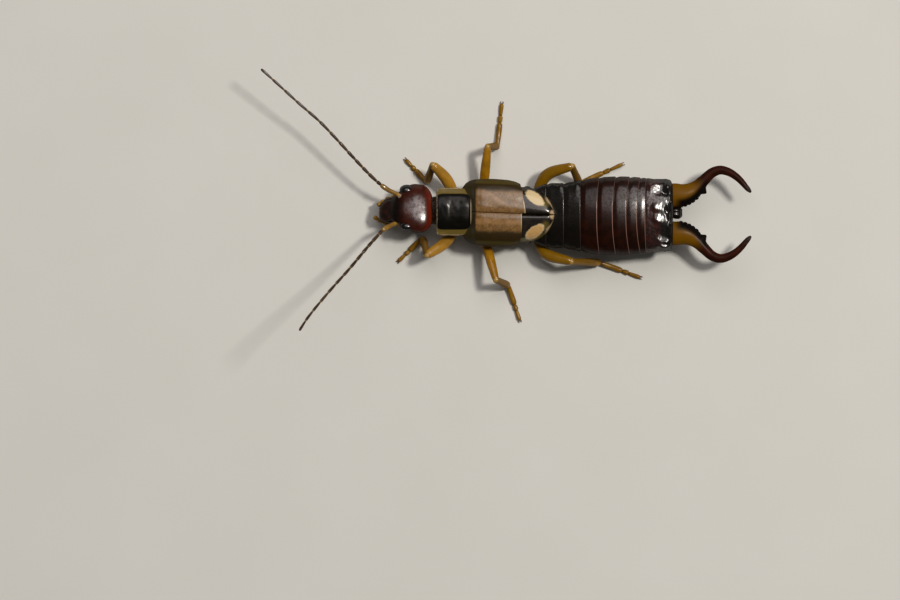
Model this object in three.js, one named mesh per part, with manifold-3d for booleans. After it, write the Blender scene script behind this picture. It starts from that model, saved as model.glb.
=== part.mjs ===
// A male earwig, life size, standing with its feelers spread and its pincers open.
// Millimetres. It faces -X, its right side is +Y, and its feet rest on the plane Z = 0.
// Inside this file X is measured from the front edge of the neck shield, and Y from the line
// that the head and the neck shield share. The last lines move the origin under the middle.

import * as THREE from 'three';
import { mergeVertices } from 'three/addons/utils/BufferGeometryUtils.js';
import Module from 'manifold-3d';

const wasm = await Module();
wasm.setup();

// Driving dimensions

const GAP = 0.1; // clear space kept between neighbouring pieces
const RIGHT = 1;
const LEFT = -1;

const SWAY = 0.165; // how far the trunk bows to the animal's left
const SWAY_CENTRE = 7.0; // where it bows furthest
const SWAY_REACH = 6.5; // distance from there to where it is straight again

// Trunk sections: x, half width, top, bottom
const TRUNK = [
  [0.1, 0.56, 1.6, 0.98],
  [0.8, 0.72, 1.66, 0.84],
  [1.6, 0.8, 1.7, 0.8],
  [2.6, 0.86, 1.74, 0.8],
  [3.6, 0.96, 1.72, 0.84],
  [4.1, 1.14, 1.72, 0.92],
  [4.69, 1.36, 1.84, 0.96],
  [5.44, 1.41, 2.1, 0.92],
  [6.15, 1.53, 2.28, 0.82],
  [6.86, 1.65, 2.38, 0.73],
  [7.53, 1.69, 2.42, 0.67],
  [8.11, 1.69, 2.4, 0.67],
  [8.57, 1.66, 2.36, 0.71],
  [8.96, 1.61, 2.3, 0.77],
];
const TRUNK_SQUARENESS = 0.86; // exponent of the section's oval, 1 for an ellipse

const PROTHORAX = { front: 0.1, rear: 1.5 };
const THORAX = { front: 1.6, rear: 3.75 };
const HIND_LOBE = { x: 3.86, fromMiddle: 1.16, z: 1.12, radii: [0.16, 0.2, 0.24] };

// Rear edge of each ring of the abdomen at the middle, and how far its sides run on behind that
const RINGS = [
  { name: 'abdomen_base', front: 4.1, rear: 4.69, bow: 0.0 },
  { name: 'abdomen_3', rear: 5.44, bow: 0.0, tubercle: 0.09 },
  { name: 'abdomen_4', rear: 6.15, bow: 0.04, tubercle: 0.13 },
  { name: 'abdomen_5', rear: 6.86, bow: 0.12 },
  { name: 'abdomen_6', rear: 7.53, bow: 0.16 },
  { name: 'abdomen_7', rear: 8.11, bow: 0.18 },
  { name: 'abdomen_8', rear: 8.57, bow: 0.18 },
  { name: 'abdomen_9', rear: 8.91, bow: 0.06 },
];
const RING_WAIST = 0.055; // share by which a ring narrows at its front edge
const RING_LIP = 0.012; // share by which it stands proud just before its rear edge

// Last plate of the abdomen: x, half width, top, bottom
const LAST_PLATE = [
  [8.96, 1.6, 2.27, 0.8],
  [9.25, 1.57, 2.31, 0.82],
  [9.65, 1.56, 2.33, 0.86],
  [9.92, 1.54, 2.3, 0.92],
  [10.06, 1.46, 2.22, 1.0],
  [10.13, 1.3, 2.1, 1.1],
];
const LAST_PLATE_BOW = { reach: 0.06, fades: 9.7 }; // its front edge follows the last ring
const LAST_PLATE_DENT = { depth: 0.17, halfWidth: 0.34, from: 9.2, to: 9.85 };
const LAST_PLATE_KNOB = { x: 9.9, y: 1.16, z: 2.14, radii: [0.26, 0.3, 0.2] };

// Tail lobe between the pincers: x, half width, top, bottom
const TAIL_LOBE = [
  [10.23, 0.15, 1.8, 1.22],
  [10.36, 0.16, 1.8, 1.2],
  [10.5, 0.14, 1.72, 1.24],
  [10.57, 0.08, 1.6, 1.32],
];
const TAIL_LOBE_Y = -0.08;

// Pincers: their line in plan as x and distance from the middle line, then thickness along it
const PINCER_LINE = [
  [10.23, 0.83],
  [10.55, 0.84],
  [10.88, 0.95],
  [11.18, 1.16],
  [11.48, 1.46],
  [11.83, 1.78],
  [12.17, 1.9],
  [12.51, 1.83],
  [12.81, 1.66],
  [13.07, 1.43],
  [13.3, 1.16],
  [13.52, 0.92],
];
const PINCER_HEIGHT = { root: 1.5, bend: 1.46, tip: 1.62 };
// share of the length, half width, half height
const PINCER_THICKNESS = [
  [0.0, 0.51, 0.31],
  [0.09, 0.51, 0.32],
  [0.18, 0.45, 0.3],
  [0.27, 0.35, 0.27],
  [0.36, 0.27, 0.25],
  [0.46, 0.23, 0.23],
  [0.6, 0.21, 0.21],
  [0.76, 0.2, 0.19],
  [0.88, 0.15, 0.14],
  [0.96, 0.09, 0.08],
  [1.0, 0.03, 0.03],
];
const PINCER_TEETH = { from: 0.07, to: 0.21, count: 5, reach: 0.05, root: 0.09 };
const PINCER_FANG = { at: 0.255, reach: 0.12, root: 0.13 };

// Head: x, half width, top, bottom
const HEAD = [
  [-1.97, 0.5, 1.5, 1.0],
  [-1.8, 0.62, 1.58, 0.93],
  [-1.5, 0.8, 1.7, 0.86],
  [-1.12, 0.97, 1.81, 0.81],
  [-0.75, 1.05, 1.86, 0.79],
  [-0.46, 0.99, 1.84, 0.82],
  [-0.3, 0.82, 1.75, 0.9],
  [-0.24, 0.58, 1.62, 1.02],
];
const HEAD_SQUARENESS = 0.82;
const HEAD_TURN = { y: 0.15, at: -0.7, slope: 0.055 }; // the nose points a little to the left
const HEAD_SEAM = { depth: 0.045, halfWidth: 0.07, front: -1.2 }; // groove down the crown

const LABRUM = [
  [-2.07, 0.46, 1.48, 1.14],
  [-2.2, 0.46, 1.46, 1.12],
  [-2.36, 0.38, 1.4, 1.12],
  [-2.45, 0.24, 1.34, 1.16],
  [-2.49, 0.1, 1.29, 1.2],
];

const EYE = { x: -1.3, fromMiddle: 0.9, z: 1.46, radii: [0.24, 0.2, 0.26] };

const MANDIBLE = {
  line: [[-1.8, 0.34, 0.98], [-2.1, 0.38, 0.94], [-2.34, 0.28, 0.93], [-2.46, 0.14, 0.94]],
  radii: [[0, 0.16, 0.11], [0.4, 0.15, 0.1], [0.75, 0.1, 0.08], [1, 0.04, 0.04]],
};
const CHEEK_PALP = {
  right: [[-1.3, 0.78, 0.74], [-1.75, 0.84, 0.62], [-2.2, 0.74, 0.64], [-2.56, 0.48, 0.74]],
  left: [[-1.3, -0.54, 0.74], [-1.8, -0.62, 0.6], [-2.3, -0.5, 0.6], [-2.72, -0.22, 0.7]],
  lengths: [0.28, 0.22, 0.2, 0.16, 0.14],
  radius: [0.19, 0.13],
};
const LIP_PALP = {
  line: [[-1.4, 0.19, 0.72], [-1.75, 0.2, 0.58], [-2.1, 0.18, 0.54]],
  lengths: [0.42, 0.32, 0.26],
  radius: [0.13, 0.1],
};

// Feelers: the line of each, its joints as shares of the part beyond the first joint
const FEELER = {
  right: [
    [-1.6, 0.68, 1.4], [-1.72, 0.77, 1.44], [-2.1, 0.95, 1.54], [-2.45, 1.2, 1.62],
    [-2.88, 1.59, 1.72], [-3.66, 2.41, 1.88], [-4.17, 2.97, 1.98], [-5.03, 3.87, 2.14],
    [-5.89, 4.62, 2.3], [-6.67, 5.33, 2.45], [-7.52, 6.1, 2.6],
  ],
  left: [
    [-1.58, -0.36, 1.42], [-1.68, -0.43, 1.46], [-2.02, -0.6, 1.62], [-2.32, -0.78, 1.78],
    [-2.58, -1.06, 1.96], [-2.88, -1.4, 2.24], [-3.74, -2.45, 3.16], [-4.6, -3.44, 4.16],
    [-5.46, -4.52, 5.3], [-5.8, -5.06, 5.84],
  ],
  firstJoint: 0.98, // from the start of the line, inside the head, to the end of the first joint
  joints: [0.18, 0.42, 0.32, 0.38, 0.42, 0.46, 0.5, 0.54, 0.56, 0.58, 0.58, 0.58, 0.56],
  radius: { root: 0.23, middle: 0.25, tip: 0.13 },
};

// Neck, from inside the head to inside the front of the thorax: x, half width, top, bottom
const NECK = [
  [-0.4, 0.36, 1.62, 1.04],
  [-0.1, 0.4, 1.66, 1.0],
  [0.25, 0.36, 1.62, 1.04],
];

// Neck shield: x and half width. It is domed across, and thinner towards its front and rear.
const SHIELD = [
  [0.0, 0.8],
  [0.03, 0.93],
  [0.12, 0.98],
  [0.5, 1.0],
  [0.95, 0.99],
  [1.2, 0.96],
  [1.36, 0.86],
  [1.44, 0.68],
  [1.46, 0.42],
];
const SHIELD_TOP = 2.2;
const SHIELD_THICKNESS = 0.44;
const SHIELD_DROOP = 0.16; // how much lower the sides are than the middle
const SHIELD_SQUARENESS = 0.5;

// Wing cases, both as one dome before they are parted: x, half width, top, bottom
const CASES = [
  [1.08, 1.04, 2.14, 1.56],
  [1.22, 1.22, 2.24, 1.5],
  [1.45, 1.36, 2.31, 1.45],
  [1.9, 1.42, 2.35, 1.42],
  [2.6, 1.45, 2.37, 1.4],
  [3.2, 1.42, 2.36, 1.42],
  [3.55, 1.34, 2.34, 1.46],
  [3.8, 1.22, 2.31, 1.52],
];
const CASES_SQUARENESS = 0.5;
const CASES_REAR = { warpFrom: 3.0, middle: 3.8, notch: 0.26, strip: 0.4, stripFrom: 1.12, stripTo: 1.2 };
const CASES_CLEAR = 0.15; // clear space between them and the folded wings below

// Folded hind wings that show behind the cases: x, half width, top
const WING_TIPS = [
  [3.3, 1.0, 2.26],
  [3.9, 1.05, 2.29],
  [4.25, 1.01, 2.3],
  [4.55, 0.9, 2.29],
  [4.8, 0.69, 2.26],
  [4.96, 0.44, 2.22],
  [5.03, 0.2, 2.17],
];
const WING_TIPS_BOTTOM = 1.3;
const WING_TIPS_SQUARENESS = 0.7;

// Legs: where each joint stands in plan, in the photo's pose. The hind thighs are bowed.
const LEGS = [
  { name: 'front_right', root: [0.9, 0.27], hip: [0.8, 0.66], thigh: [0.4, 1.42],
    knee: [-0.17, 2.03], ankle: [-0.44, 1.31], toe: [-1.34, 2.27] },
  { name: 'front_left', root: [0.9, -0.3], hip: [0.82, -0.7], thigh: [0.33, -1.32],
    knee: [-0.42, -1.86], ankle: [-0.62, -1.1], toe: [-1.66, -2.1] },
  { name: 'middle_right', root: [1.95, 0.2], hip: [1.97, 0.78], knee: [2.18, 2.8],
    ankle: [2.61, 2.86], toe: [2.8, 4.69] },
  { name: 'middle_left', root: [1.95, -0.3], hip: [1.98, -0.88], knee: [2.53, -2.91],
    ankle: [3.08, -3.16], toe: [3.57, -4.64] },
  { name: 'hind_right', root: [3.6, 0.2], hip: [4.26, 0.74], thigh: [4.74, 1.6],
    knee: [5.8, 1.97], ankle: [6.15, 1.26], toe: [8.0, 2.08] },
  { name: 'hind_left', root: [3.6, -0.46], hip: [4.26, -1.0], thigh: [4.7, -1.78],
    knee: [5.78, -2.13], ankle: [7.05, -2.17], toe: [8.77, -2.8] },
];
const LEG_HEIGHT = { root: 0.92, hip: 0.62, thigh: 1.02, knee: 1.48, ankle: 0.27, foot: 0.17, toe: 0.13 };
const LEG_RADIUS = { coxa: 0.28, hip: 0.23, thigh: 0.27, knee: 0.25, shin: 0.25, ankle: 0.22 };
const LIMB_SIDES = 8;
const FOOT_RADIUS = { heel: 0.2, sole: 0.17, toe: 0.11 };
const FOOT_JOINTS = [0.56, 0.72]; // shares of the foot where its first and second joints end
const CLAW = { length: 0.26, radius: 0.055, spread: 0.11 };

// Materials

function paint(color, roughness, metalness = 0) {
  return new THREE.MeshStandardMaterial({ color, roughness, metalness });
}

const MATERIALS = {
  head: paint(0x3a1208, 0.22),
  mouth: paint(0x2a0f08, 0.35),
  palp: paint(0xb98a3c, 0.45),
  eye: paint(0x0a0a0a, 0.15),
  feelerRoot: paint(0xc07a35, 0.4),
  feeler: paint(0x3b3024, 0.55),
  neck: paint(0x4a3a2c, 0.6),
  shield: paint(0x14120f, 0.25),
  body: paint(0x2a1a10, 0.4),
  wingCase: paint(0x8a5f30, 0.38),
  wingTip: paint(0xd9bd8a, 0.42),
  abdomenDark: paint(0x17110e, 0.28),
  abdomen: paint(0x3a150e, 0.26),
  lastPlate: paint(0x241009, 0.18),
  pincer: paint(0x8f4312, 0.28),
  leg: paint(0xd08a1e, 0.36),
  foot: paint(0xb98433, 0.45),
};

// Solids

function signedVolume(geometry) {
  const points = geometry.attributes.position;
  const index = geometry.index.array;
  const [a, b, c] = [new THREE.Vector3(), new THREE.Vector3(), new THREE.Vector3()];
  let volume = 0;
  for (let i = 0; i < index.length; i += 3) {
    a.fromBufferAttribute(points, index[i]);
    b.fromBufferAttribute(points, index[i + 1]);
    c.fromBufferAttribute(points, index[i + 2]);
    volume += a.dot(b.cross(c)) / 6;
  }
  return volume;
}

// Makes a closed solid of a geometry, with its faces pointing out.
function solidOf(geometry) {
  geometry.deleteAttribute('normal');
  geometry.deleteAttribute('uv');
  const merged = mergeVertices(geometry);
  const triVerts = Uint32Array.from(merged.index.array);
  if (signedVolume(merged) < 0) {
    triVerts.reverse();
  }
  const vertProperties = Float32Array.from(merged.attributes.position.array);
  return new wasm.Manifold(new wasm.Mesh({ numProp: 3, vertProperties, triVerts }));
}

function union(solids) {
  return solids.reduce((whole, solid) => whole.add(solid));
}

// Keeps the part of a solid on the side of the plane to which the normal points.
function keepSide(solid, point, normal) {
  return solid.trimByPlane(normal.toArray(), normal.dot(point));
}

// Turns a solid into a named mesh, without any loose scrap that a cut has left.
function meshOf(name, solid, material) {
  const pieces = solid.decompose();
  const largest = pieces.reduce((best, piece) => (piece.volume() > best.volume() ? piece : best));
  const { vertProperties, triVerts } = largest.getMesh();
  const geometry = new THREE.BufferGeometry();
  geometry.setAttribute('position', new THREE.BufferAttribute(vertProperties, 3));
  geometry.setIndex(new THREE.BufferAttribute(triVerts, 1));
  geometry.computeVertexNormals();
  const mesh = new THREE.Mesh(geometry, material);
  mesh.name = name;
  return mesh;
}

// Reads rows of numbers as one smooth curve: the first row is at 0 and the last at 1.
function smoothRows(rows) {
  const knots = rows.map((row, index) => index / (rows.length - 1));
  const curve = new THREE.CubicInterpolant(knots, rows.flat(), rows[0].length);
  return (share) => Array.from(curve.evaluate(share));
}

// The same, read by the first number of each row.
function smoothBy(rows) {
  const knots = rows.map((row) => row[0]);
  const values = rows.flatMap((row) => row.slice(1));
  const curve = new THREE.CubicInterpolant(knots, values, rows[0].length - 1);
  return (key) => Array.from(curve.evaluate(key));
}

// Closes a skin round a row of rings. place(ring, angle, out) gives a point of a ring, where
// out is 1 on the skin and 0 at the middle of either end face.
function skin(rings, around, place) {
  const geometry = new THREE.CylinderGeometry(1, 1, 1, around, rings - 1);
  const points = geometry.attributes.position;
  const point = new THREE.Vector3();
  for (let i = 0; i < points.count; i += 1) {
    point.fromBufferAttribute(points, i);
    const ring = Math.round((0.5 - point.y) * (rings - 1));
    const out = Math.round(Math.hypot(point.x, point.z));
    const angle = Math.atan2(point.x, point.z);
    const placed = place(ring, angle, out);
    points.setXYZ(i, placed.x, placed.y, placed.z);
  }
  return solidOf(geometry);
}

function signedPower(value, power) {
  return Math.sign(value) * Math.abs(value) ** power;
}

// Middle line of the trunk, and of the head in front of it.
function trunkY(x) {
  return -SWAY * (1 - ((x - SWAY_CENTRE) / SWAY_REACH) ** 2);
}

function headY(x) {
  return HEAD_TURN.y + (x - HEAD_TURN.at) * HEAD_TURN.slope;
}

// An oval section at x, widened by grow on every side.
function ovalPoint(x, [halfWidth, top, bottom], squareness, middle, angle, out, grow = 0) {
  const across = signedPower(Math.cos(angle), squareness);
  const up = signedPower(Math.sin(angle), squareness);
  const z = (top + bottom) / 2 + out * ((top - bottom) / 2 + grow) * up;
  return new THREE.Vector3(x, middle + out * (halfWidth + grow) * across, z);
}

// A body whose rows are x, half width, top, bottom. bend may move each point afterwards.
function loft(rows, options) {
  const { around = 24, steps = 2, squareness = 1, middle = trunkY, grow = 0, bend } = options;
  const sections = smoothRows(rows);
  const rings = (rows.length - 1) * steps + 1;
  return skin(rings, around, (ring, angle, out) => {
    const [x, ...section] = sections(ring / (rings - 1));
    const stretch = grow * (2 * ring / (rings - 1) - 1) * Math.sign(rows.at(-1)[0] - rows[0][0]);
    const point = ovalPoint(x + stretch, section, squareness, middle(x), angle, out, grow);
    return bend ? bend(point) : point;
  });
}

// A rounded body swept along a curve. Each ring is a distance along it, half width, half height.
// A distance before the start or past the end runs straight on.
function sweep(points, rings, around = 10) {
  const curve = new THREE.CatmullRomCurve3(points);
  const length = curve.getLength();
  const up = new THREE.Vector3(0, 0, 1);
  return skin(rings.length, around, (ring, angle, out) => {
    const [distance, halfWidth, halfHeight] = rings[ring];
    const share = THREE.MathUtils.clamp(distance / length, 0, 1);
    const along = curve.getTangentAt(share);
    const side = new THREE.Vector3().crossVectors(along, up).normalize();
    const lift = new THREE.Vector3().crossVectors(side, along);
    return curve.getPointAt(share)
      .addScaledVector(along, distance - share * length)
      .addScaledVector(side, out * halfWidth * Math.cos(angle))
      .addScaledVector(lift, out * halfHeight * Math.sin(angle));
  });
}

// Rings of a ball end of this radius: towards -1 before the distance, +1 past it.
function ballEnd(distance, radius, towards) {
  const steps = [0.5, 0.87];
  const rings = steps.map((share) => {
    const width = radius * Math.sqrt(1 - share * share);
    return [distance + towards * share * radius, width, width];
  });
  return towards < 0 ? rings.reverse() : rings;
}

function blob(centre, radii, around = 10, rings = 7) {
  const geometry = new THREE.SphereGeometry(1, around, rings);
  geometry.scale(...radii);
  geometry.translate(...centre);
  return solidOf(geometry);
}

function cone(root, tip, radius, sides = 6) {
  const axis = new THREE.Vector3().subVectors(tip, root);
  const geometry = new THREE.ConeGeometry(radius, axis.length(), sides);
  geometry.applyQuaternion(
    new THREE.Quaternion().setFromUnitVectors(new THREE.Vector3(0, 1, 0), axis.clone().normalize()),
  );
  const middle = root.clone().addScaledVector(axis, 0.5);
  geometry.translate(middle.x, middle.y, middle.z);
  return solidOf(geometry);
}

function vectors(rows) {
  return rows.map((row) => new THREE.Vector3(...row));
}

// Rings of a jointed feeler or palp: each joint swells from its root to just before its end.
function beads(start, lengths, radiusAt) {
  const total = lengths.reduce((sum, length) => sum + length, 0);
  const rings = [];
  let from = start;
  for (const length of lengths) {
    for (const [share, swell] of [[0.03, 0.76], [0.4, 0.97], [0.9, 1]]) {
      const distance = from + share * length;
      const radius = swell * radiusAt((distance - start) / total);
      rings.push([distance, radius, radius]);
    }
    from += length;
  }
  return rings;
}

// Trunk

const trunkSection = smoothBy(TRUNK);

// A length of the trunk. Its end faces run back towards the sides by the two bows.
function trunkLength(front, rear, options = {}) {
  const { frontBow = 0, rearBow = 0, grow = 0, waist = 0, lip = 0, around = 24 } = options;
  const shares = [0, 0.12, 0.5, 0.86, 1];
  const scales = [1 - waist, 1 - waist / 2, 1, 1 + lip, 1 - lip];
  return skin(shares.length, around, (ring, angle, out) => {
    const share = shares[ring];
    const spread = out * Math.cos(angle) ** 2;
    const x = THREE.MathUtils.lerp(front + frontBow * spread, rear + rearBow * spread, share);
    const [halfWidth, top, bottom] = trunkSection(x);
    const inset = ((1 - scales[ring]) * (top - bottom)) / 2;
    const section = [halfWidth * scales[ring], top - inset, bottom + inset];
    return ovalPoint(x, section, TRUNK_SQUARENESS, trunkY(x), angle, out, grow);
  });
}

function shieldSolid(grow = 0) {
  const rows = SHIELD.map(([x, halfWidth]) => {
    const edge = THREE.MathUtils.lerp(0.6, 1, halfWidth);
    const half = (SHIELD_THICKNESS / 2) * edge;
    return [x, halfWidth, half, -half];
  });
  const bend = (point) => {
    const across = point.y - trunkY(point.x);
    point.z += SHIELD_TOP - SHIELD_THICKNESS / 2 - SHIELD_DROOP * across * across;
    return point;
  };
  const middle = () => 0.01;
  return loft(rows, { around: 28, steps: 1, squareness: SHIELD_SQUARENESS, middle, grow, bend });
}

function prothoraxSolid(grow = 0) {
  return trunkLength(PROTHORAX.front - grow, PROTHORAX.rear + grow, { grow, around: 24 });
}

// The middle and hind rings of the thorax, with the lobe that shows beside each wing case.
function thoraxSolid(grow = 0) {
  const { x, fromMiddle, z } = HIND_LOBE;
  const radii = HIND_LOBE.radii.map((radius) => radius + grow);
  const lobes = [RIGHT, LEFT].map((side) => blob([x, trunkY(x) + side * fromMiddle, z], radii, 8, 6));
  const rings = trunkLength(THORAX.front - grow, THORAX.rear + grow, { grow, around: 24 });
  return union([rings, ...lobes]);
}

// The room that the whole trunk takes up, with the gap round it.
function trunkRoomSolid() {
  return loft(TRUNK, { around: 20, steps: 1, squareness: TRUNK_SQUARENESS, grow: GAP });
}

// Both wing cases as one dome, cut back beside the suture, with a side strip that runs on.
function casesSolid(grow = 0) {
  const bend = (point) => {
    const across = Math.abs(point.y - trunkY(point.x));
    const { warpFrom, middle, stripFrom, stripTo } = CASES_REAR;
    const notch = CASES_REAR.notch * THREE.MathUtils.smoothstep(across, 0, 1);
    const strip = CASES_REAR.strip * THREE.MathUtils.smoothstep(across, stripFrom, stripTo);
    const share = Math.max(0, point.x - warpFrom) / (middle - warpFrom);
    point.x += share * (strip - notch);
    return point;
  };
  return loft(CASES, { around: 32, squareness: CASES_SQUARENESS, grow, bend });
}

function wingTipsSolid() {
  const rows = WING_TIPS.map(([x, halfWidth, top]) => [x, halfWidth, top, WING_TIPS_BOTTOM]);
  return loft(rows, { around: 24, steps: 1, squareness: WING_TIPS_SQUARENESS });
}

// Keeps one side of a solid that lies across the middle line.
function oneSide(solid, side, near, far) {
  const along = new THREE.Vector3(far - near, trunkY(far) - trunkY(near), 0).normalize();
  const out = new THREE.Vector3(-along.y * side, along.x * side, 0);
  const onLine = new THREE.Vector3(near, trunkY(near), 0).addScaledVector(out, GAP / 2);
  return keepSide(solid, onLine, out);
}

function abdomenRings() {
  const rings = [];
  let previous = { rear: RINGS[0].front - GAP, bow: 0 };
  for (const ring of RINGS) {
    const front = previous.rear + GAP / 2;
    const rear = ring.rear - GAP / 2;
    const options = { frontBow: previous.bow, rearBow: ring.bow, waist: RING_WAIST, lip: RING_LIP };
    let solid = trunkLength(front, rear, options);
    if (ring.tubercle) {
      solid = union([solid, ...tubercles(rear, ring.tubercle)]);
    }
    rings.push({ name: ring.name, solid });
    previous = ring;
  }
  return rings;
}

// The small lump that the third and fourth rings carry on each side.
function tubercles(rear, size) {
  const x = rear - size * 1.4;
  const [halfWidth, top] = trunkSection(x);
  return [RIGHT, LEFT].map((side) => {
    const centre = [x, trunkY(x) + side * halfWidth * 0.86, top * 0.86];
    return blob(centre, [size * 1.2, size, size], 8, 6);
  });
}

function lastPlateSolid() {
  const { depth, halfWidth, from, to } = LAST_PLATE_DENT;
  const { reach, fades } = LAST_PLATE_BOW;
  const [front, widest] = LAST_PLATE[0];
  const bend = (point) => {
    const out = point.y - trunkY(point.x);
    const upper = THREE.MathUtils.smoothstep(point.z, 1.6, 2.1);
    const behind = THREE.MathUtils.smoothstep(point.x, from, to);
    point.z -= upper * depth * Math.exp(-((out / halfWidth) ** 2)) * behind;
    point.x += reach * (out / widest) ** 2 * (1 - THREE.MathUtils.smoothstep(point.x, front, fades));
    return point;
  };
  const plate = loft(LAST_PLATE, { around: 30, squareness: 0.72, bend });
  const knob = LAST_PLATE_KNOB;
  const knobs = [RIGHT, LEFT].map((side) => (
    blob([knob.x, trunkY(knob.x) + side * knob.y, knob.z], knob.radii, 10, 7)
  ));
  return union([plate, ...knobs]);
}

// Pincers

function pincerPath(side) {
  const middle = trunkY(LAST_PLATE.at(-1)[0]) + 0.03;
  const last = PINCER_LINE.length - 1;
  return PINCER_LINE.map(([x, out], index) => {
    const share = index / last;
    const z = share < 0.5
      ? THREE.MathUtils.lerp(PINCER_HEIGHT.root, PINCER_HEIGHT.bend, share * 2)
      : THREE.MathUtils.lerp(PINCER_HEIGHT.bend, PINCER_HEIGHT.tip, share * 2 - 1);
    return new THREE.Vector3(x, middle + side * out, z);
  });
}

function pincerSolid(side) {
  const path = pincerPath(side);
  const curve = new THREE.CatmullRomCurve3(path);
  const length = curve.getLength();
  const thickness = smoothBy(PINCER_THICKNESS);
  const count = 22;
  const rings = Array.from({ length: count }, (_, i) => {
    const share = i / (count - 1);
    return [share * length, ...thickness(share)];
  });
  const tooth = (share, reach, root) => {
    const along = curve.getTangentAt(share);
    const inward = new THREE.Vector3(-along.y, along.x, 0).multiplyScalar(-side);
    const edge = curve.getPointAt(share).addScaledVector(inward, thickness(share)[0]);
    const start = edge.clone().addScaledVector(inward, -root);
    return cone(start, edge.addScaledVector(inward, reach), root);
  };
  const { from, to, count: teeth, reach, root } = PINCER_TEETH;
  const row = Array.from({ length: teeth }, (_, i) => (
    tooth(THREE.MathUtils.lerp(from, to, i / (teeth - 1)), reach, root)
  ));
  const fang = tooth(PINCER_FANG.at, PINCER_FANG.reach, PINCER_FANG.root);
  return union([sweep(path, rings, 10), ...row, fang]);
}

// Head

function headSolid(grow = 0) {
  const bend = (point) => {
    const across = (point.y - headY(point.x)) / HEAD_SEAM.halfWidth;
    const behind = THREE.MathUtils.smoothstep(point.x, HEAD_SEAM.front - 0.3, HEAD_SEAM.front);
    const upper = point.z > 1.5 ? 1 : 0;
    point.z -= upper * behind * HEAD_SEAM.depth * Math.exp(-across * across);
    return point;
  };
  return loft(HEAD, { around: 28, squareness: HEAD_SQUARENESS, middle: headY, grow, bend });
}

function eyeSolid(side, grow = 0) {
  const radii = EYE.radii.map((radius) => radius + grow);
  return blob([EYE.x, headY(EYE.x) + side * EYE.fromMiddle, EYE.z], radii, 12, 8);
}

function mandibleSolid(side) {
  const line = MANDIBLE.line.map(([x, out, z]) => [x, headY(x) + side * out, z]);
  const points = vectors(line);
  const length = new THREE.CatmullRomCurve3(points).getLength();
  const rings = MANDIBLE.radii.map(([share, width, height]) => [share * length, width, height]);
  return sweep(points, rings, 8);
}

function palpSolid(points, lengths, [root, tip]) {
  const radiusAt = (share) => THREE.MathUtils.lerp(root, tip, share);
  const end = lengths.reduce((sum, length) => sum + length, 0);
  const path = new THREE.CatmullRomCurve3(points);
  const scale = path.getLength() / end;
  const scaled = lengths.map((length) => length * scale);
  const rings = beads(0, scaled, radiusAt);
  return sweep(points, rings.slice(0, -1).concat(ballEnd(rings.at(-2)[0], tip, 1)), 7);
}

function feelerRadius(share) {
  const { root, middle, tip } = FEELER.radius;
  const swell = THREE.MathUtils.lerp(root, middle, Math.min(1, share * 3));
  return THREE.MathUtils.lerp(swell, tip, THREE.MathUtils.smoothstep(share, 0.55, 1));
}

function feelerSolids(line) {
  const points = vectors(line);
  const length = new THREE.CatmullRomCurve3(points).getLength();
  const { firstJoint, joints, radius } = FEELER;
  const root = sweep(points, [
    [0, 0.2, 0.2], [0.2, 0.2, 0.2], [0.45, 0.23, 0.23],
    [firstJoint - 0.14, 0.25, 0.25], [firstJoint, 0.2, 0.2],
  ], 8);
  const start = firstJoint + GAP;
  const sum = joints.reduce((total, joint) => total + joint, 0);
  const scale = (length - start - radius.tip) / sum;
  const rings = beads(start, joints.map((joint) => joint * scale), feelerRadius);
  rings.pop();
  rings.push(...ballEnd(length - radius.tip, radius.tip, 1));
  return { root, rest: sweep(points, rings, 8) };
}

// Legs

function legPoints(leg) {
  const points = {};
  for (const joint of ['root', 'hip', 'thigh', 'knee', 'ankle', 'toe']) {
    const place = leg[joint] ?? [(leg.hip[0] + leg.knee[0]) / 2, (leg.hip[1] + leg.knee[1]) / 2];
    points[joint] = new THREE.Vector3(...place, LEG_HEIGHT[joint]);
  }
  return points;
}

// Keeps the part of a limb that lies before (-1) or past (+1) a joint, half a gap clear of the
// plane that halves the angle there.
function cutAtJoint(solid, before, joint, after, side) {
  const incoming = new THREE.Vector3().subVectors(joint, before).normalize();
  const outgoing = new THREE.Vector3().subVectors(after, joint).normalize();
  const normal = incoming.add(outgoing).normalize().multiplyScalar(side);
  const point = joint.clone().addScaledVector(normal, GAP / 2);
  return keepSide(solid, point, normal);
}

function limb(line, middle, ends) {
  const length = new THREE.CatmullRomCurve3(line).getLength();
  const rings = [
    ...ballEnd(0, ends[0], -1),
    [0, ends[0], ends[0]],
    ...middle.map(([share, radius]) => [share * length, radius, radius]),
    [length, ends[1], ends[1]],
    ...ballEnd(length, ends[1], 1),
  ];
  return sweep(line, rings, LIMB_SIDES);
}

function coxaSolid({ root, hip, thigh }) {
  const { coxa, hip: end } = LEG_RADIUS;
  const solid = limb([root, hip], [[0.5, coxa]], [coxa, end]);
  return cutAtJoint(solid, root, hip, thigh, -1);
}

function femurSolid({ root, hip, thigh, knee, ankle }) {
  const { hip: start, thigh: widest, knee: end } = LEG_RADIUS;
  const middle = [[0.12, start * 0.94], [0.28, widest * 0.98], [0.55, widest], [0.82, end * 1.03]];
  const solid = limb([hip, thigh, knee], middle, [start, end]);
  return cutAtJoint(cutAtJoint(solid, root, hip, thigh, 1), thigh, knee, ankle, -1);
}

function tibiaSolid({ thigh, knee, ankle, toe }) {
  const { knee: start, shin, ankle: end } = LEG_RADIUS;
  const solid = limb([knee, ankle], [[0.3, shin * 0.96], [0.7, shin]], [start, end]);
  return cutAtJoint(cutAtJoint(solid, thigh, knee, ankle, 1), knee, ankle, toe, -1);
}

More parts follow.
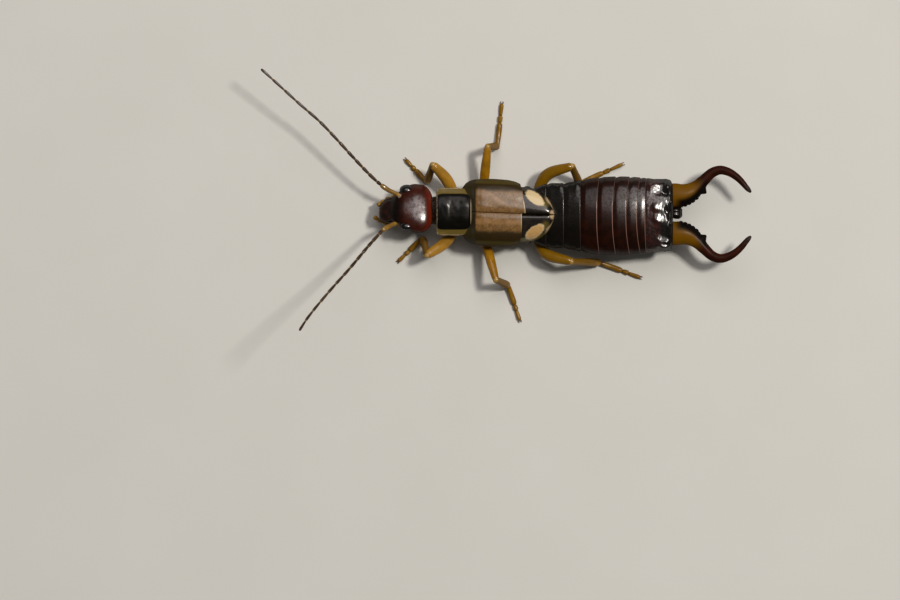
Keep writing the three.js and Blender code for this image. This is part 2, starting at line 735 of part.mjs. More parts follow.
function clawSolids(toe, along) {
  const side = new THREE.Vector3(-along.y, along.x, 0);
  return [RIGHT, LEFT].map((hand) => {
    const root = toe.clone().addScaledVector(along, -0.08).addScaledVector(side, hand * 0.03);
    const tip = toe.clone().addScaledVector(along, CLAW.length).addScaledVector(side, hand * CLAW.spread);
    tip.z = CLAW.radius;
    return cone(root, tip, CLAW.radius, 5);
  });
}

// The foot of three joints, lying on the floor, with its two claws.
function tarsusSolid({ knee, ankle, toe }) {
  const along = new THREE.Vector3().subVectors(toe, ankle).setZ(0).normalize();
  const low = ankle.clone().lerp(toe, 0.3).setZ(LEG_HEIGHT.foot);
  const length = new THREE.CatmullRomCurve3([ankle, low, toe]).getLength();
  const { heel, sole, toe: end } = FOOT_RADIUS;
  const [first, second] = FOOT_JOINTS.map((share) => share * length);
  const rings = [
    ...ballEnd(0, heel, -1),
    [0, heel, heel],
    [first * 0.5, sole, sole],
    [first * 0.94, sole * 1.02, sole],
    [first, sole * 0.74, sole * 0.8],
    [first + (second - first) * 0.4, sole * 1.05, sole],
    [second * 0.98, sole * 1.1, sole * 0.94],
    [second, sole * 0.7, sole * 0.76],
    [second + (length - second) * 0.3, end * 1.05, end * 1.1],
    [length * 0.97, end * 1.15, end],
    ...ballEnd(length, end, 1),
  ];
  const solid = union([sweep([ankle, low, toe], rings, LIMB_SIDES), ...clawSolids(toe, along)]);
  const cut = cutAtJoint(solid, knee, ankle, low, 1);
  return keepSide(cut, new THREE.Vector3(), new THREE.Vector3(0, 0, 1));
}

// Assembly

function buildHead() {
  const group = new THREE.Group();
  const grown = headSolid(GAP);
  const eyes = { right: RIGHT, left: LEFT };
  let head = headSolid();
  for (const [name, side] of Object.entries(eyes)) {
    head = head.subtract(eyeSolid(side, GAP));
    group.add(meshOf(`eye_${name}`, eyeSolid(side), MATERIALS.eye));
    const mandible = mandibleSolid(side).subtract(grown);
    group.add(meshOf(`mandible_${name}`, mandible, MATERIALS.mouth));
    const palp = palpSolid(vectors(CHEEK_PALP[name]), CHEEK_PALP.lengths, CHEEK_PALP.radius);
    group.add(meshOf(`cheek_palp_${name}`, palp.subtract(grown), MATERIALS.palp));
    const lipLine = LIP_PALP.line.map(([x, out, z]) => [x, headY(x) + side * out, z]);
    const lipPalp = palpSolid(vectors(lipLine), LIP_PALP.lengths, LIP_PALP.radius);
    group.add(meshOf(`lip_palp_${name}`, lipPalp.subtract(grown), MATERIALS.palp));
    const feeler = feelerSolids(FEELER[name]);
    group.add(meshOf(`feeler_root_${name}`, feeler.root.subtract(grown), MATERIALS.feelerRoot));
    group.add(meshOf(`feeler_${name}`, feeler.rest, MATERIALS.feeler));
  }
  group.add(meshOf('head', head, MATERIALS.head));
  const labrum = loft(LABRUM, { around: 16, steps: 1, squareness: 0.7, middle: headY });
  group.add(meshOf('labrum', labrum, MATERIALS.mouth));
  return group;
}

function buildThorax() {
  const group = new THREE.Group();
  const shield = shieldSolid();
  const shieldRoom = shieldSolid(GAP);
  const prothorax = prothoraxSolid().subtract(shieldRoom);
  const neck = loft(NECK, { around: 16, middle: () => 0.1 })
    .subtract(headSolid(GAP))
    .subtract(prothoraxSolid(GAP));
  group.add(meshOf('neck', neck, MATERIALS.neck));
  group.add(meshOf('neck_shield', shield, MATERIALS.shield));
  group.add(meshOf('prothorax', prothorax, MATERIALS.body));
  group.add(meshOf('thorax', thoraxSolid(), MATERIALS.body));
  return group;
}

function buildWings() {
  const group = new THREE.Group();
  const trunkRoom = trunkRoomSolid();
  const cases = casesSolid().subtract(trunkRoom).subtract(shieldSolid(GAP));
  const tips = wingTipsSolid().subtract(trunkRoom).subtract(casesSolid(CASES_CLEAR));
  for (const [name, side] of Object.entries({ right: RIGHT, left: LEFT })) {
    const wingCase = oneSide(cases, side, CASES[0][0], CASES.at(-1)[0]);
    const tip = oneSide(tips, side, WING_TIPS[0][0], WING_TIPS.at(-1)[0]);
    group.add(meshOf(`wing_case_${name}`, wingCase, MATERIALS.wingCase));
    group.add(meshOf(`wing_tip_${name}`, tip, MATERIALS.wingTip));
  }
  return group;
}

function buildAbdomen() {
  const group = new THREE.Group();
  const darkRings = 3;
  abdomenRings().forEach(({ name, solid }, index) => {
    const material = index < darkRings ? MATERIALS.abdomenDark : MATERIALS.abdomen;
    group.add(meshOf(name, solid, material));
  });
  group.add(meshOf('last_plate', lastPlateSolid(), MATERIALS.lastPlate));
  const lobe = loft(TAIL_LOBE, { around: 14, squareness: 0.8, middle: () => TAIL_LOBE_Y });
  group.add(meshOf('tail_lobe', lobe, MATERIALS.lastPlate));
  group.add(meshOf('pincer_right', pincerSolid(RIGHT), MATERIALS.pincer));
  group.add(meshOf('pincer_left', pincerSolid(LEFT), MATERIALS.pincer));
  return group;
}

function buildLegs() {
  const group = new THREE.Group();
  const trunkRoom = trunkRoomSolid();
  for (const leg of LEGS) {
    const points = legPoints(leg);
    const coxa = coxaSolid(points).subtract(trunkRoom);
    group.add(meshOf(`leg_${leg.name}_coxa`, coxa, MATERIALS.body));
    group.add(meshOf(`leg_${leg.name}_femur`, femurSolid(points), MATERIALS.leg));
    group.add(meshOf(`leg_${leg.name}_tibia`, tibiaSolid(points), MATERIALS.leg));
    group.add(meshOf(`leg_${leg.name}_tarsus`, tarsusSolid(points), MATERIALS.foot));
  }
  return group;
}

const animal = new THREE.Group();
animal.add(buildHead(), buildThorax(), buildWings(), buildAbdomen(), buildLegs());

const bounds = new THREE.Box3().setFromObject(animal);
const centre = bounds.getCenter(new THREE.Vector3());
animal.position.set(-centre.x, -centre.y, -bounds.min.z);

const earwig = new THREE.Group();
earwig.add(animal);

export default earwig;
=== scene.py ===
# %% [markdown]
# # A male earwig, life size
# An earwig is a small tank: glossy plates that overlap like roof tiles, leathery wing cases, two
# folded hind wings that peep out behind them, and a pair of curved pincers. This lesson dresses the
# plain solids of such an animal. Each plate is a surface worked out on a grid of numbers, and each
# finish is a handful of nodes.

import bpy
import numpy as np
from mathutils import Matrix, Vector


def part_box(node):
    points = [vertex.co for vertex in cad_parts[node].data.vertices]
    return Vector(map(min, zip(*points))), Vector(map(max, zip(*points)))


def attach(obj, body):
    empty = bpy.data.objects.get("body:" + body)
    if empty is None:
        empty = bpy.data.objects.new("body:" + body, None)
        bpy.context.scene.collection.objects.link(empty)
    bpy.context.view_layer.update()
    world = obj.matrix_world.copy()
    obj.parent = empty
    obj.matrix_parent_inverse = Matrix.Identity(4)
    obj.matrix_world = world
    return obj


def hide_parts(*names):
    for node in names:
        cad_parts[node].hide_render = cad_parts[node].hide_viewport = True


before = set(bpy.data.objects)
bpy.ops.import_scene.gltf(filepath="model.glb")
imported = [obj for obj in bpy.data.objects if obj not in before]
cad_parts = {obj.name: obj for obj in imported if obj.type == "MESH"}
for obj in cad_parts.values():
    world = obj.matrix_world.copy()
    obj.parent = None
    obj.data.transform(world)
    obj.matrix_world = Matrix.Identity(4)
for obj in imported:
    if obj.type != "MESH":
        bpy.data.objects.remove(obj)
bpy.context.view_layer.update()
print("solids to dress:", len(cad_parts))

# %% [markdown]
# ## One ruler for every shape
# The solids are in metres, with their origin under the middle of the animal. Shapes of a few tenths of
# a millimetre are easier to think about in millimetres, measured from the front edge of the neck
# shield. Blender could do this with an empty as parent, but a finished piece should sit at the origin,
# so the move is made in the numbers, and it is read from the frame.

# %% Millimetres, and where they start
MM = 0.001
SHIELD_LINE = 0.01  # sideways place of the neck shield's middle
shield_low, shield_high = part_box("neck_shield")
START = np.array([shield_low.x, (shield_low.y + shield_high.y) / 2 - SHIELD_LINE * MM, 0.0])
RIGHT = 1
LEFT = -1
SIDES = {"right": RIGHT, "left": LEFT}
print("start of the ruler, in metres:", START.round(5))

# %% [markdown]
# ## Smooth curves through a few rows
# A drawing gives a shape as a few sections. Between them the surface should bend evenly, so each
# stretch is a cubic whose slope at a row is the slope between that row's neighbours. Blender's own
# curves could do it too; arrays let one call read thousands of points.


# %% Curves and steps
def smooth(rows, at):
    """Reads rows of numbers at any value of their first column. Each stretch is the cubic that has, at
    both its ends, the row's value and the slope between the two rows beside it."""
    rows = np.asarray(rows, float)
    rows = rows[np.argsort(rows[:, 0])]
    keys, values = rows[:, 0], rows[:, 1:]
    slopes = np.gradient(values, keys, axis=0)
    at = np.clip(np.asarray(at, float), keys[0], keys[-1])
    left = np.clip(np.searchsorted(keys, at) - 1, 0, len(keys) - 2)
    span = (keys[left + 1] - keys[left])[..., None]
    t = (at - keys[left])[..., None] / span
    start = values[left] * (1 + 2 * t) * (1 - t) ** 2 + slopes[left] * span * t * (1 - t) ** 2
    end = values[left + 1] * t**2 * (3 - 2 * t) + slopes[left + 1] * span * t**2 * (t - 1)
    return start + end


def step(value, low, high):
    """Rises smoothly from 0 at low to 1 at high: three times the square less twice the cube."""
    t = np.clip((value - low) / (high - low), 0, 1)
    return t * t * (3 - 2 * t)


def bell(value, centre, width):
    """A bell curve, 1 at the centre and about a third one width away."""
    return np.exp(-(((value - centre) / width) ** 2))


def power(value, exponent):
    """A power that keeps the sign: below 1 it makes an oval squarer."""
    return np.sign(value) * np.abs(value) ** exponent


print("half way up a step:", step(0.5, 0, 1))

# %% [markdown]
# ## From a grid to a mesh
# Every piece here is a closed tube of some kind: rings of points, joined by quads, with a point at
# either end to close it. A piece may have several such tubes, as a foot has three joints and two
# claws. Alongside its points a tube carries marks, numbers from 0 to 1 on each point that say where a
# colour lies. A finish reads a mark by its name, so a pattern can follow the shape exactly.


# %% Meshes from grids
def closed_faces(rows, columns, folded):
    """Quads between neighbouring rings, then what closes each end: a fan of triangles to one point or,
    for a folded shell whose rings go out and come back, quads from its outside to its inside."""
    row, column = np.meshgrid(np.arange(rows - 1), np.arange(columns), indexing="ij")
    after = (column + 1) % columns
    a = row * columns + column
    b = row * columns + after
    quads = np.stack([a, a + columns, b + columns, b], axis=-1).reshape(-1, 4)
    last = (rows - 1) * columns
    if folded:
        out = np.arange(columns // 2 - 1)
        back = columns - 1 - out
        strip = np.stack([out, out + 1, back - 1, back], axis=-1)
        return np.concatenate([quads, strip, strip[:, ::-1] + last]), np.zeros((0, 3), int)
    ring = np.arange(columns)
    turned = (ring + 1) % columns
    end = rows * columns
    fan = np.stack([np.full(columns, end), ring, turned], axis=-1)
    tail = np.stack([np.full(columns, end + 1), last + turned, last + ring], axis=-1)
    return quads, np.concatenate([fan, tail])


def volume(points, quads, fans):
    """Signed volume of a closed mesh: a sixth of the sum of each triangle's triple product."""
    triangles = np.concatenate([quads[:, [0, 1, 2]], quads[:, [0, 2, 3]], fans])
    a, b, c = points[triangles[:, 0]], points[triangles[:, 1]], points[triangles[:, 2]]
    return np.einsum("ij,ij->", a, np.cross(b, c)) / 6


def piece(name, tubes, finish, nodes=(), folded=False):
    """Makes one object of several closed tubes. Each tube is a grid of points, in millimetres, and
    its marks."""
    points, faces, marks, first = [], [], {}, 0
    for grid, _ in tubes:
        rows, columns = grid.shape[:2]
        quads, fans = closed_faces(rows, columns, folded)
        own = grid.reshape(-1, 3)
        if not folded:
            own = np.concatenate([own, [grid[0].mean(axis=0), grid[-1].mean(axis=0)]])
        if volume(own, quads, fans) < 0:
            quads, fans = quads[:, ::-1], fans[:, ::-1]
        points.append(own)
        faces += (quads + first).tolist() + (fans + first).tolist()
        first += len(own)
    for mark in sorted({mark for _, own in tubes for mark in own}):
        values = []
        for grid, own in tubes:
            value = np.broadcast_to(own.get(mark, 0.0), grid.shape[:2])
            values.append(value.ravel())
            if not folded:
                values.append([value[0].mean(), value[-1].mean()])
        marks[mark] = np.concatenate(values)
    mesh = bpy.data.meshes.new(name)
    mesh.from_pydata(np.concatenate(points) * MM + START, [], faces)
    for mark, values in marks.items():
        layer = mesh.attributes.new(mark, "FLOAT", "POINT")
        layer.data.foreach_set("value", np.clip(values, 0, 1).astype(np.float32))
    mesh.polygons.foreach_set("use_smooth", np.ones(len(mesh.polygons), bool))
    mesh.update()
    made = bpy.data.objects.new(name, mesh)
    bpy.context.scene.collection.objects.link(made)
    made.data.materials.append(finish)
    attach(made, "root")
    if nodes:
        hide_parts(*nodes)
    print(f"{name}: {len(mesh.vertices)} points")
    return made


# %% [markdown]
# ## Ovals along a line
# Two ways to make a tube cover the whole animal. The trunk and the head lie along X, so their rings
# are ovals that stand across it. Legs, feelers and pincers bend, so their rings are carried along a
# path and turn with it.


# %% Rings across the trunk and rings along a path
def angles(count):
    """Angles round a ring: 0 points to the animal's right, a quarter turn points up."""
    return np.linspace(0, 2 * np.pi, count, endpoint=False)


def oval(x, sections, middle, squareness, around):
    """Rings across X. A point is cos(angle) half widths beside the middle line and sin(angle) half
    heights above the section's centre, both raised to the power squareness. Returns the grid and the
    two factors, across and up, from -1 to 1."""
    angle = angles(around)[None, :]
    across = power(np.cos(angle), squareness) * np.ones_like(x)[:, None]
    up = power(np.sin(angle), squareness) * np.ones_like(x)[:, None]
    half_width, top, bottom = (column[:, None] for column in sections.T)
    half_height = (top - bottom) / 2
    y = middle[:, None] + across * half_width
    z = (top + bottom) / 2 + up * half_height
    grid = np.stack([np.broadcast_to(x[:, None], y.shape), y, z], axis=-1)
    return grid.copy(), across, up


PATH_STEPS = 600  # how finely a path is measured


class Path:
    """A smooth line through a few points, read by the distance along it. Its curve is keyed by the sum
    of the square roots of the gaps, so it swings round close points evenly. Past either end it runs
    straight on."""

    def __init__(self, points):
        points = np.asarray(points, float)
        steps = np.linalg.norm(np.diff(points, axis=0), axis=1) ** 0.5
        keys = np.concatenate([[0], np.cumsum(steps)])
        rows = np.column_stack([keys, points])
        self.line = smooth(rows, np.linspace(0, keys[-1], PATH_STEPS))
        runs = np.linalg.norm(np.diff(self.line, axis=0), axis=1)
        self.run = np.concatenate([[0], np.cumsum(runs)])
        self.length = self.run[-1]
        slope = np.gradient(self.line, self.run, axis=0)
        self.slope = slope / np.linalg.norm(slope, axis=1)[:, None]

    def read(self, distance):
        """Points, and unit directions along, to the side and upwards, at these distances."""
        inside = np.clip(distance, 0, self.length)
        pick = [np.interp(inside, self.run, self.line[:, axis]) for axis in range(3)]
        lean = [np.interp(inside, self.run, self.slope[:, axis]) for axis in range(3)]
        along = np.column_stack(lean)
        along /= np.linalg.norm(along, axis=1)[:, None]
        side = np.cross(along, [0, 0, 1.0])
        side /= np.linalg.norm(side, axis=1)[:, None]
        lift = np.cross(side, along)
        points = np.column_stack(pick) + along * (distance - inside)[:, None]
        return points, along, side, lift


def limb(path, distance, half_width, half_height, around):
    """Carries an oval along a path. A point is cos(angle) half widths to the side of the path and
    sin(angle) half heights above it."""
    points, _, side, lift = path.read(distance)
    angle = angles(around)[None, :, None]
    wide = np.cos(angle) * half_width[:, None, None]
    high = np.sin(angle) * half_height[:, None, None]
    return points[:, None, :] + side[:, None, :] * wide + lift[:, None, :] * high


def rounded(rows, length, flat, count):
    """Distances, half widths and half heights of a limb that ends in two round caps, and the shares of
    its length, which crowd towards the ends as a cosine does. Its rows give the half width by the
    share, and near an end it shrinks as the side of a circle does."""
    turn = (1 - np.cos(np.linspace(0, np.pi, count))) / 2
    distance = turn * length
    half_width = smooth(rows, turn)[:, 0]
    near = np.minimum(distance, length - distance)
    cap = np.clip(near / np.maximum(half_width, 1e-6), 0, 1)
    half_width = half_width * np.sqrt(np.clip(1 - (1 - cap) ** 2, 0, 1))
    return distance, half_width, half_width * flat, turn


print("a quarter turn round a ring of eight:", angles(8)[2].round(3))

# %% [markdown]
# ## Shader sums as plain Python
# A finish is mostly arithmetic: this much noise, less under the rim, more at the edge. The small class
# below wraps a socket, and adding, multiplying or subtracting it puts the Math node in. Every other
# node comes from one method that takes its type, its settings and its inputs.


# %% A value in a shader
class Value:
    """A number or colour on its way through a finish."""

    def __init__(self, finish, socket):
        self.finish = finish
        self.socket = socket

    def sum(self, operation, first, second):
        """A Math node that does this operation with two values or numbers."""
        return self.finish.node("ShaderNodeMath", {"operation": operation}, {0: first, 1: second})

    def __add__(self, other):
        return self.sum("ADD", self, other)

    def __sub__(self, other):
        return self.sum("SUBTRACT", self, other)

    def __rsub__(self, other):
        return self.sum("SUBTRACT", other, self)

    def __mul__(self, other):
        return self.sum("MULTIPLY", self, other)

    __radd__ = __add__
    __rmul__ = __mul__


# %% A finish under construction
class Finish:
    """A material under construction, and the few nodes that every finish here uses."""

    def __init__(self, name):
        self.material = bpy.data.materials.new(name)
        self.material.use_nodes = True
        self.tree = self.material.node_tree
        self.tree.nodes.clear()
        self.place = self.node("ShaderNodeTexCoord", output="Object")

    def node(self, kind, settings=None, inputs=None, output=0):
        """Adds a node of this type, gives it its settings, then the values or links of its inputs."""
        made = self.tree.nodes.new(kind)
        for name, value in (settings or {}).items():
            setattr(made, name, value)
        for name, value in (inputs or {}).items():
            if isinstance(value, Value):
                self.tree.links.new(value.socket, made.inputs[name])
            else:
                made.inputs[name].default_value = value
        return Value(self, made.outputs[output]) if made.outputs else made

    def mark(self, name):
        """Reads a mark that the piece's points carry."""
        return self.node("ShaderNodeAttribute", {"attribute_name": name}, output="Fac")

    def noise(self, size, detail=3.0):
        """Cloudy noise, whose patches are about size millimetres across."""
        inputs = {"Vector": self.place, "Scale": 1 / (size * MM), "Detail": detail, "Roughness": 0.55}
        return self.node("ShaderNodeTexNoise", inputs=inputs)

    def cells(self, size):
        """Distance to the nearest of many scattered points, about size millimetres apart."""
        return self.node("ShaderNodeTexVoronoi", inputs={"Vector": self.place, "Scale": 1 / (size * MM)})

    def range(self, value, low, high, start=0.0, end=1.0):
        """Maps low to start and high to end by a smooth step, and holds both beyond them."""
        inputs = {"Value": value, "From Min": low, "From Max": high, "To Min": start, "To Max": end}
        settings = {"interpolation_type": "SMOOTHSTEP"}
        return self.node("ShaderNodeMapRange", settings, inputs)

    def blend(self, share, first, second):
        """A colour that goes from the first to the second as share goes from 0 to 1."""
        settings = {"data_type": "RGBA"}
        inputs = {0: share, 6: first, 7: second}
        return self.node("ShaderNodeMix", settings, inputs, output=2)

    def bump(self, height, depth):
        """Tilts the surface as if it were raised by depth millimetres where height is 1."""
        inputs = {"Height": height, "Distance": depth * MM, "Strength": 1.0}
        return self.node("ShaderNodeBump", inputs=inputs)

    def done(self, colour, roughness, normal=None, **others):
        """Closes the finish with one shader. The names of its other sockets have _ for a space."""
        inputs = {"Base Color": colour, "Roughness": roughness}
        if normal is not None:
            inputs["Normal"] = normal
        inputs.update({name.replace("_", " "): value for name, value in others.items()})
        shader = self.node("ShaderNodeBsdfPrincipled", inputs=inputs)
        self.node("ShaderNodeOutputMaterial", inputs={"Surface": shader})
        return self.material


def rgb(red, green, blue):
    """A colour as a picture editor gives it, from 0 to 255, made linear for the shader."""
    share = np.array([red, green, blue]) / 255
    linear = np.where(share <= 0.04045, share / 12.92, ((share + 0.055) / 1.055) ** 2.4)
    return (*linear.tolist(), 1.0)


print("a mid grey is", round(rgb(128, 128, 128)[0], 3), "in the shader")

# %% [markdown]
# ## Camera and light
# The animal is seen from straight above, so the camera hangs over it and looks down. A long lens a
# quarter of a metre away keeps the raised feeler from swelling. The light is a studio's: a wide soft
# panel leans over from the animal's right, as open sky would, a small bright one stands in for the
# sun, and a pale room fills the rest. Both panels are far larger than the animal, and hang so far off
# that its whole length gets the same light.

# %% Camera
FRAME_WIDTH = 38.7  # millimetres across the picture, at the height of the trunk
FRAME_CENTRE = (0.559, -3.784)
TRUNK_HEIGHT = 1.6
CAMERA_AWAY = 260.0
SENSOR = 36.0


def in_metres(x, y, z):
    """A place on the ruler as the scene's own metres."""
    return tuple(np.array([x, y, z]) * MM + START)


def camera():
    """A camera over the frame's centre. A new camera looks down, so it needs no turn, and its focal
    length is to its sensor as its distance is to the frame's width."""
    data = bpy.data.cameras.new("camera")
    data.sensor_width = SENSOR
    data.lens = SENSOR * CAMERA_AWAY / FRAME_WIDTH
    data.clip_start = 0.01
    data.clip_end = 10.0
    made = bpy.data.objects.new("camera", data)
    made.location = in_metres(*FRAME_CENTRE, TRUNK_HEIGHT + CAMERA_AWAY)
    bpy.context.scene.collection.objects.link(made)
    bpy.context.scene.camera = made


camera()
print("lens in millimetres:", round(bpy.context.scene.camera.data.lens))


# %% Lamps, floor and room
LIT_POINT = np.array([5.0, 0.0, 1.0])
FLOOR_REACH = 600.0
ROOM_COLOUR = (1.0, 0.99, 0.95, 1.0)


def lamp(name, towards, away, size, watts, colour):
    """A round panel that hangs away millimetres from the animal in the direction towards, and faces
    it."""
    data = bpy.data.lights.new(name, "AREA")
    data.shape = "DISK"
    data.size = size * MM
    data.energy = watts
    data.color = colour
    made = bpy.data.objects.new(name, data)
    direction = np.array(towards, float) / np.linalg.norm(towards)
    made.location = in_metres(*(LIT_POINT + direction * away))
    made.rotation_euler = Vector(direction).to_track_quat("Z", "Y").to_euler()
    bpy.context.scene.collection.objects.link(made)


def floor():
    """A square of pale paper under the animal, far wider than the picture."""
    corners = np.array([[-1, -1, 0], [1, -1, 0], [1, 1, 0], [-1, 1, 0]]) * FLOOR_REACH * MM
    mesh = bpy.data.meshes.new("floor")
    mesh.from_pydata(corners, [], [(0, 1, 2, 3)])
    made = bpy.data.objects.new("floor", mesh)
    bpy.context.scene.collection.objects.link(made)
    finish = Finish("floor_paper")
    tone = finish.blend(finish.noise(6.0), rgb(202, 201, 196), rgb(209, 208, 204))
    made.data.materials.append(finish.done(tone, 0.9))


def room(brightness):
    """An even, faintly warm light from all around."""
    world = bpy.data.worlds.new("room")
    world.use_nodes = True
    background = world.node_tree.nodes["Background"]
    background.inputs["Color"].default_value = ROOM_COLOUR
    background.inputs["Strength"].default_value = brightness
    bpy.context.scene.world = world


lamp("sky_panel", (0.05, 0.56, 1.0), away=260, size=240, watts=0.3, colour=(1.0, 0.94, 0.92))
lamp("sun_panel", (0.42, 0.2, 0.88), away=300, size=44, watts=0.6, colour=(1.0, 0.96, 0.88))
floor()
room(0.08)
bpy.context.scene.view_settings.view_transform = "Standard"
print("lamps:", len(bpy.data.lights))

# %% [markdown]
# ## Finishes for hard, glossy plates
# Insect plate is a dark varnish over brown horn: it has a colour that shows where light gets in, and
# a sharp, cold reflection on top. Blender's one big shader gives both, so each finish is a colour made
# of two tones, a roughness, and a bump of fine pits. Noise read in millimetres keeps the grain the
# same size on every piece. Where the shape carries a mark, a third tone is laid over the others.
# Real plate is never evenly bright: the mark polish dulls the coat where a plate is, and fine specks
# break it up.

# %% Layers of colour
FRAYED = (0.2, 0.8)  # what part of a frayed mark the edge of the colour spans
PATCHY = (0.46, 0.66)  # what part of the noise the edge of a broad patch spans


def over(mark, colour, fray=0.0, fine=0.12):
    """Lays a colour over a finish where a mark is high. Noise may fray its edge."""
    def lay(finish, below):
        where = finish.mark(mark)
        if fray:
            where = finish.range(where + (finish.noise(fine) - 0.5) * fray, *FRAYED)
        return finish.blend(where, below, colour)
    return lay


def cloudy(colour, size, most):
    """Lays a colour over a finish in broad patches, about size millimetres across."""
    def lay(finish, below):
        return finish.blend(finish.range(finish.noise(size), *PATCHY, 0.0, most), below, colour)
    return lay


# %% Horn under a clear coat
CLOUDS = (0.35, 0.68)  # what part of the noise leads from the dark tone to the light
PIT_SPACING = 2.2  # in grains
PIT_WIDTH = 0.35  # as a share of the spacing
PIT_DULLS = 0.4  # how much of its coat a pit loses
ROUGHNESS_SPREAD = 0.12
TURNED_ROUGHNESS = 0.6
SPECKS = (0.36, 0.56, 0.5, 1.1)  # noise from and to, coat from and to
WARM_EDGE = (1.0, 0.9, 0.84, 1.0)


def horn(name, dark, light, *layers, patch=0.35, rough=0.24, grain=0.06, depth=0.0012,
         coat=0.7, shine=0.2, gloss=0.1, polished=False, speck=None, mirror=1.7):
    """Two tones mixed by cloudy noise, then the layers, under a clear coat with fine pits. Where the
    surface turns away from the eye the coat is thinner and the horn rougher, which keeps dark outlines
    dark. A polished piece has less coat where its mark polish is low, and specks that many millimetres
    across break the coat up."""
    finish = Finish(name)
    colour = finish.blend(finish.range(finish.noise(patch), *CLOUDS), dark, light)
    for lay in layers:
        colour = lay(finish, colour)
    fine = finish.noise(grain, detail=2.0)
    pits = finish.range(finish.cells(grain * PIT_SPACING), 0.0, PIT_WIDTH)
    bump = finish.bump(fine * 0.6 + pits * 0.5, depth)
    turned = finish.node("ShaderNodeLayerWeight", inputs={"Blend": 0.5}, output="Facing")
    smoothest = rough - ROUGHNESS_SPREAD / 2
    roughness = smoothest + fine * ROUGHNESS_SPREAD + turned * turned * TURNED_ROUGHNESS
    weight = (1 - turned) * (pits * PIT_DULLS + (1 - PIT_DULLS)) * coat
    if polished:
        weight = weight * finish.mark("polish")
    if speck:
        weight = weight * finish.range(finish.noise(speck), *SPECKS)
    return finish.done(
        colour, roughness, bump, Coat_Weight=weight, Coat_Roughness=gloss, Coat_IOR=mirror,
        Specular_IOR_Level=shine, Specular_Tint=WARM_EDGE,
    )


# %% Finishes of the head and the plates
RING_GLOSS = dict(depth=0.002, rough=0.32, gloss=0.2, shine=0.12, polished=True, speck=0.1)
# On the head the mark socket lays a pale colour round the feelers' roots: partly their real pale
# membrane, partly a painted glint.
HEAD_HORN = horn(
    "head_horn", rgb(46, 13, 3), rgb(61, 18, 5),
    over("rim", rgb(100, 27, 8)), over("front", rgb(12, 5, 3)), over("socket", rgb(150, 128, 104)),
    depth=0.004, grain=0.04, rough=0.36, coat=1.0, gloss=0.24, shine=0.1,
    polished=True, speck=0.13, mirror=2.02,
)
# The rim colours of both ring finishes are partly the rings' own pale edge and partly a painted
# highlight on the lips.
RING_HORN = horn(
    "ring_horn", rgb(20, 6, 2), rgb(34, 10, 4),
    over("belly", rgb(50, 28, 14), 0.3), over("rim", rgb(160, 120, 106)), coat=0.8, **RING_GLOSS,
)
DARK_RING_HORN = horn(
    "dark_ring_horn", rgb(11, 9, 6), rgb(16, 12, 8),
    over("belly", rgb(50, 30, 15), 0.3), over("rim", rgb(70, 58, 50)), coat=1.0, **RING_GLOSS,
)
LAST_HORN = horn(
    "last_horn", rgb(28, 9, 5), rgb(50, 14, 7), over("black", rgb(8, 5, 4)),
    depth=0.006, grain=0.085, rough=0.34, coat=1.0, gloss=0.25, shine=0.1,
    polished=True, speck=0.09, mirror=1.8,
)
SHIELD_HORN = horn(
    "shield_horn", rgb(6, 6, 4), rgb(11, 10, 7),
    over("margin", rgb(98, 82, 36), 0.6, 0.08), over("rim", rgb(180, 162, 134), 0.8, 0.1),
    depth=0.005, rough=0.4, coat=0.22, gloss=0.22, shine=0.1, polished=True, speck=0.17,
)
# On the lids, front is a painted shadow under the rear of the neck shield, light on the right lid is a
# painted highlight along a fold, and band is partly the real darker edge and partly painted shade.
CASE_HORN = horn(
    "case_horn", rgb(100, 70, 34), rgb(124, 92, 48), cloudy(rgb(76, 50, 22), 0.5, 0.6),
    over("light", rgb(150, 112, 70), 0.5), over("band", rgb(44, 32, 9), 0.6, 0.35),
    over("strip", rgb(64, 52, 12), 0.3), over("front", rgb(46, 38, 14), 0.4),
    over("rim", rgb(180, 156, 124)),
    patch=0.09, rough=0.45, grain=0.04, depth=0.008, coat=0.9, gloss=0.26, shine=0.1, polished=True,
)
# The amber tone is painted shade on the left cream spot, and the rim is partly a pale edge and partly a
# painted highlight.
WING_HORN = horn(
    "wing_horn", rgb(16, 12, 8), rgb(34, 27, 18),
    over("olive", rgb(88, 76, 28), 0.4), over("cream", rgb(204, 181, 138), 0.9, 0.1),
    over("amber", rgb(180, 136, 74), 0.4), over("rim", rgb(176, 150, 114), 0.6, 0.09),
    patch=0.3, rough=0.34, depth=0.003, coat=0.66, gloss=0.16, shine=0.1,
)
print("finishes so far:", len(bpy.data.materials))

# %% Finishes of the limbs, the mouth and the soft parts
PINCER_HORN = horn(
    "pincer_horn", rgb(36, 12, 4), rgb(50, 17, 5),
    over("ochre", rgb(100, 66, 2)), over("inner", rgb(10, 6, 4)), over("tip", rgb(44, 36, 30)),
    patch=0.5, rough=0.5, coat=0.04, gloss=0.25, shine=0.04,
)
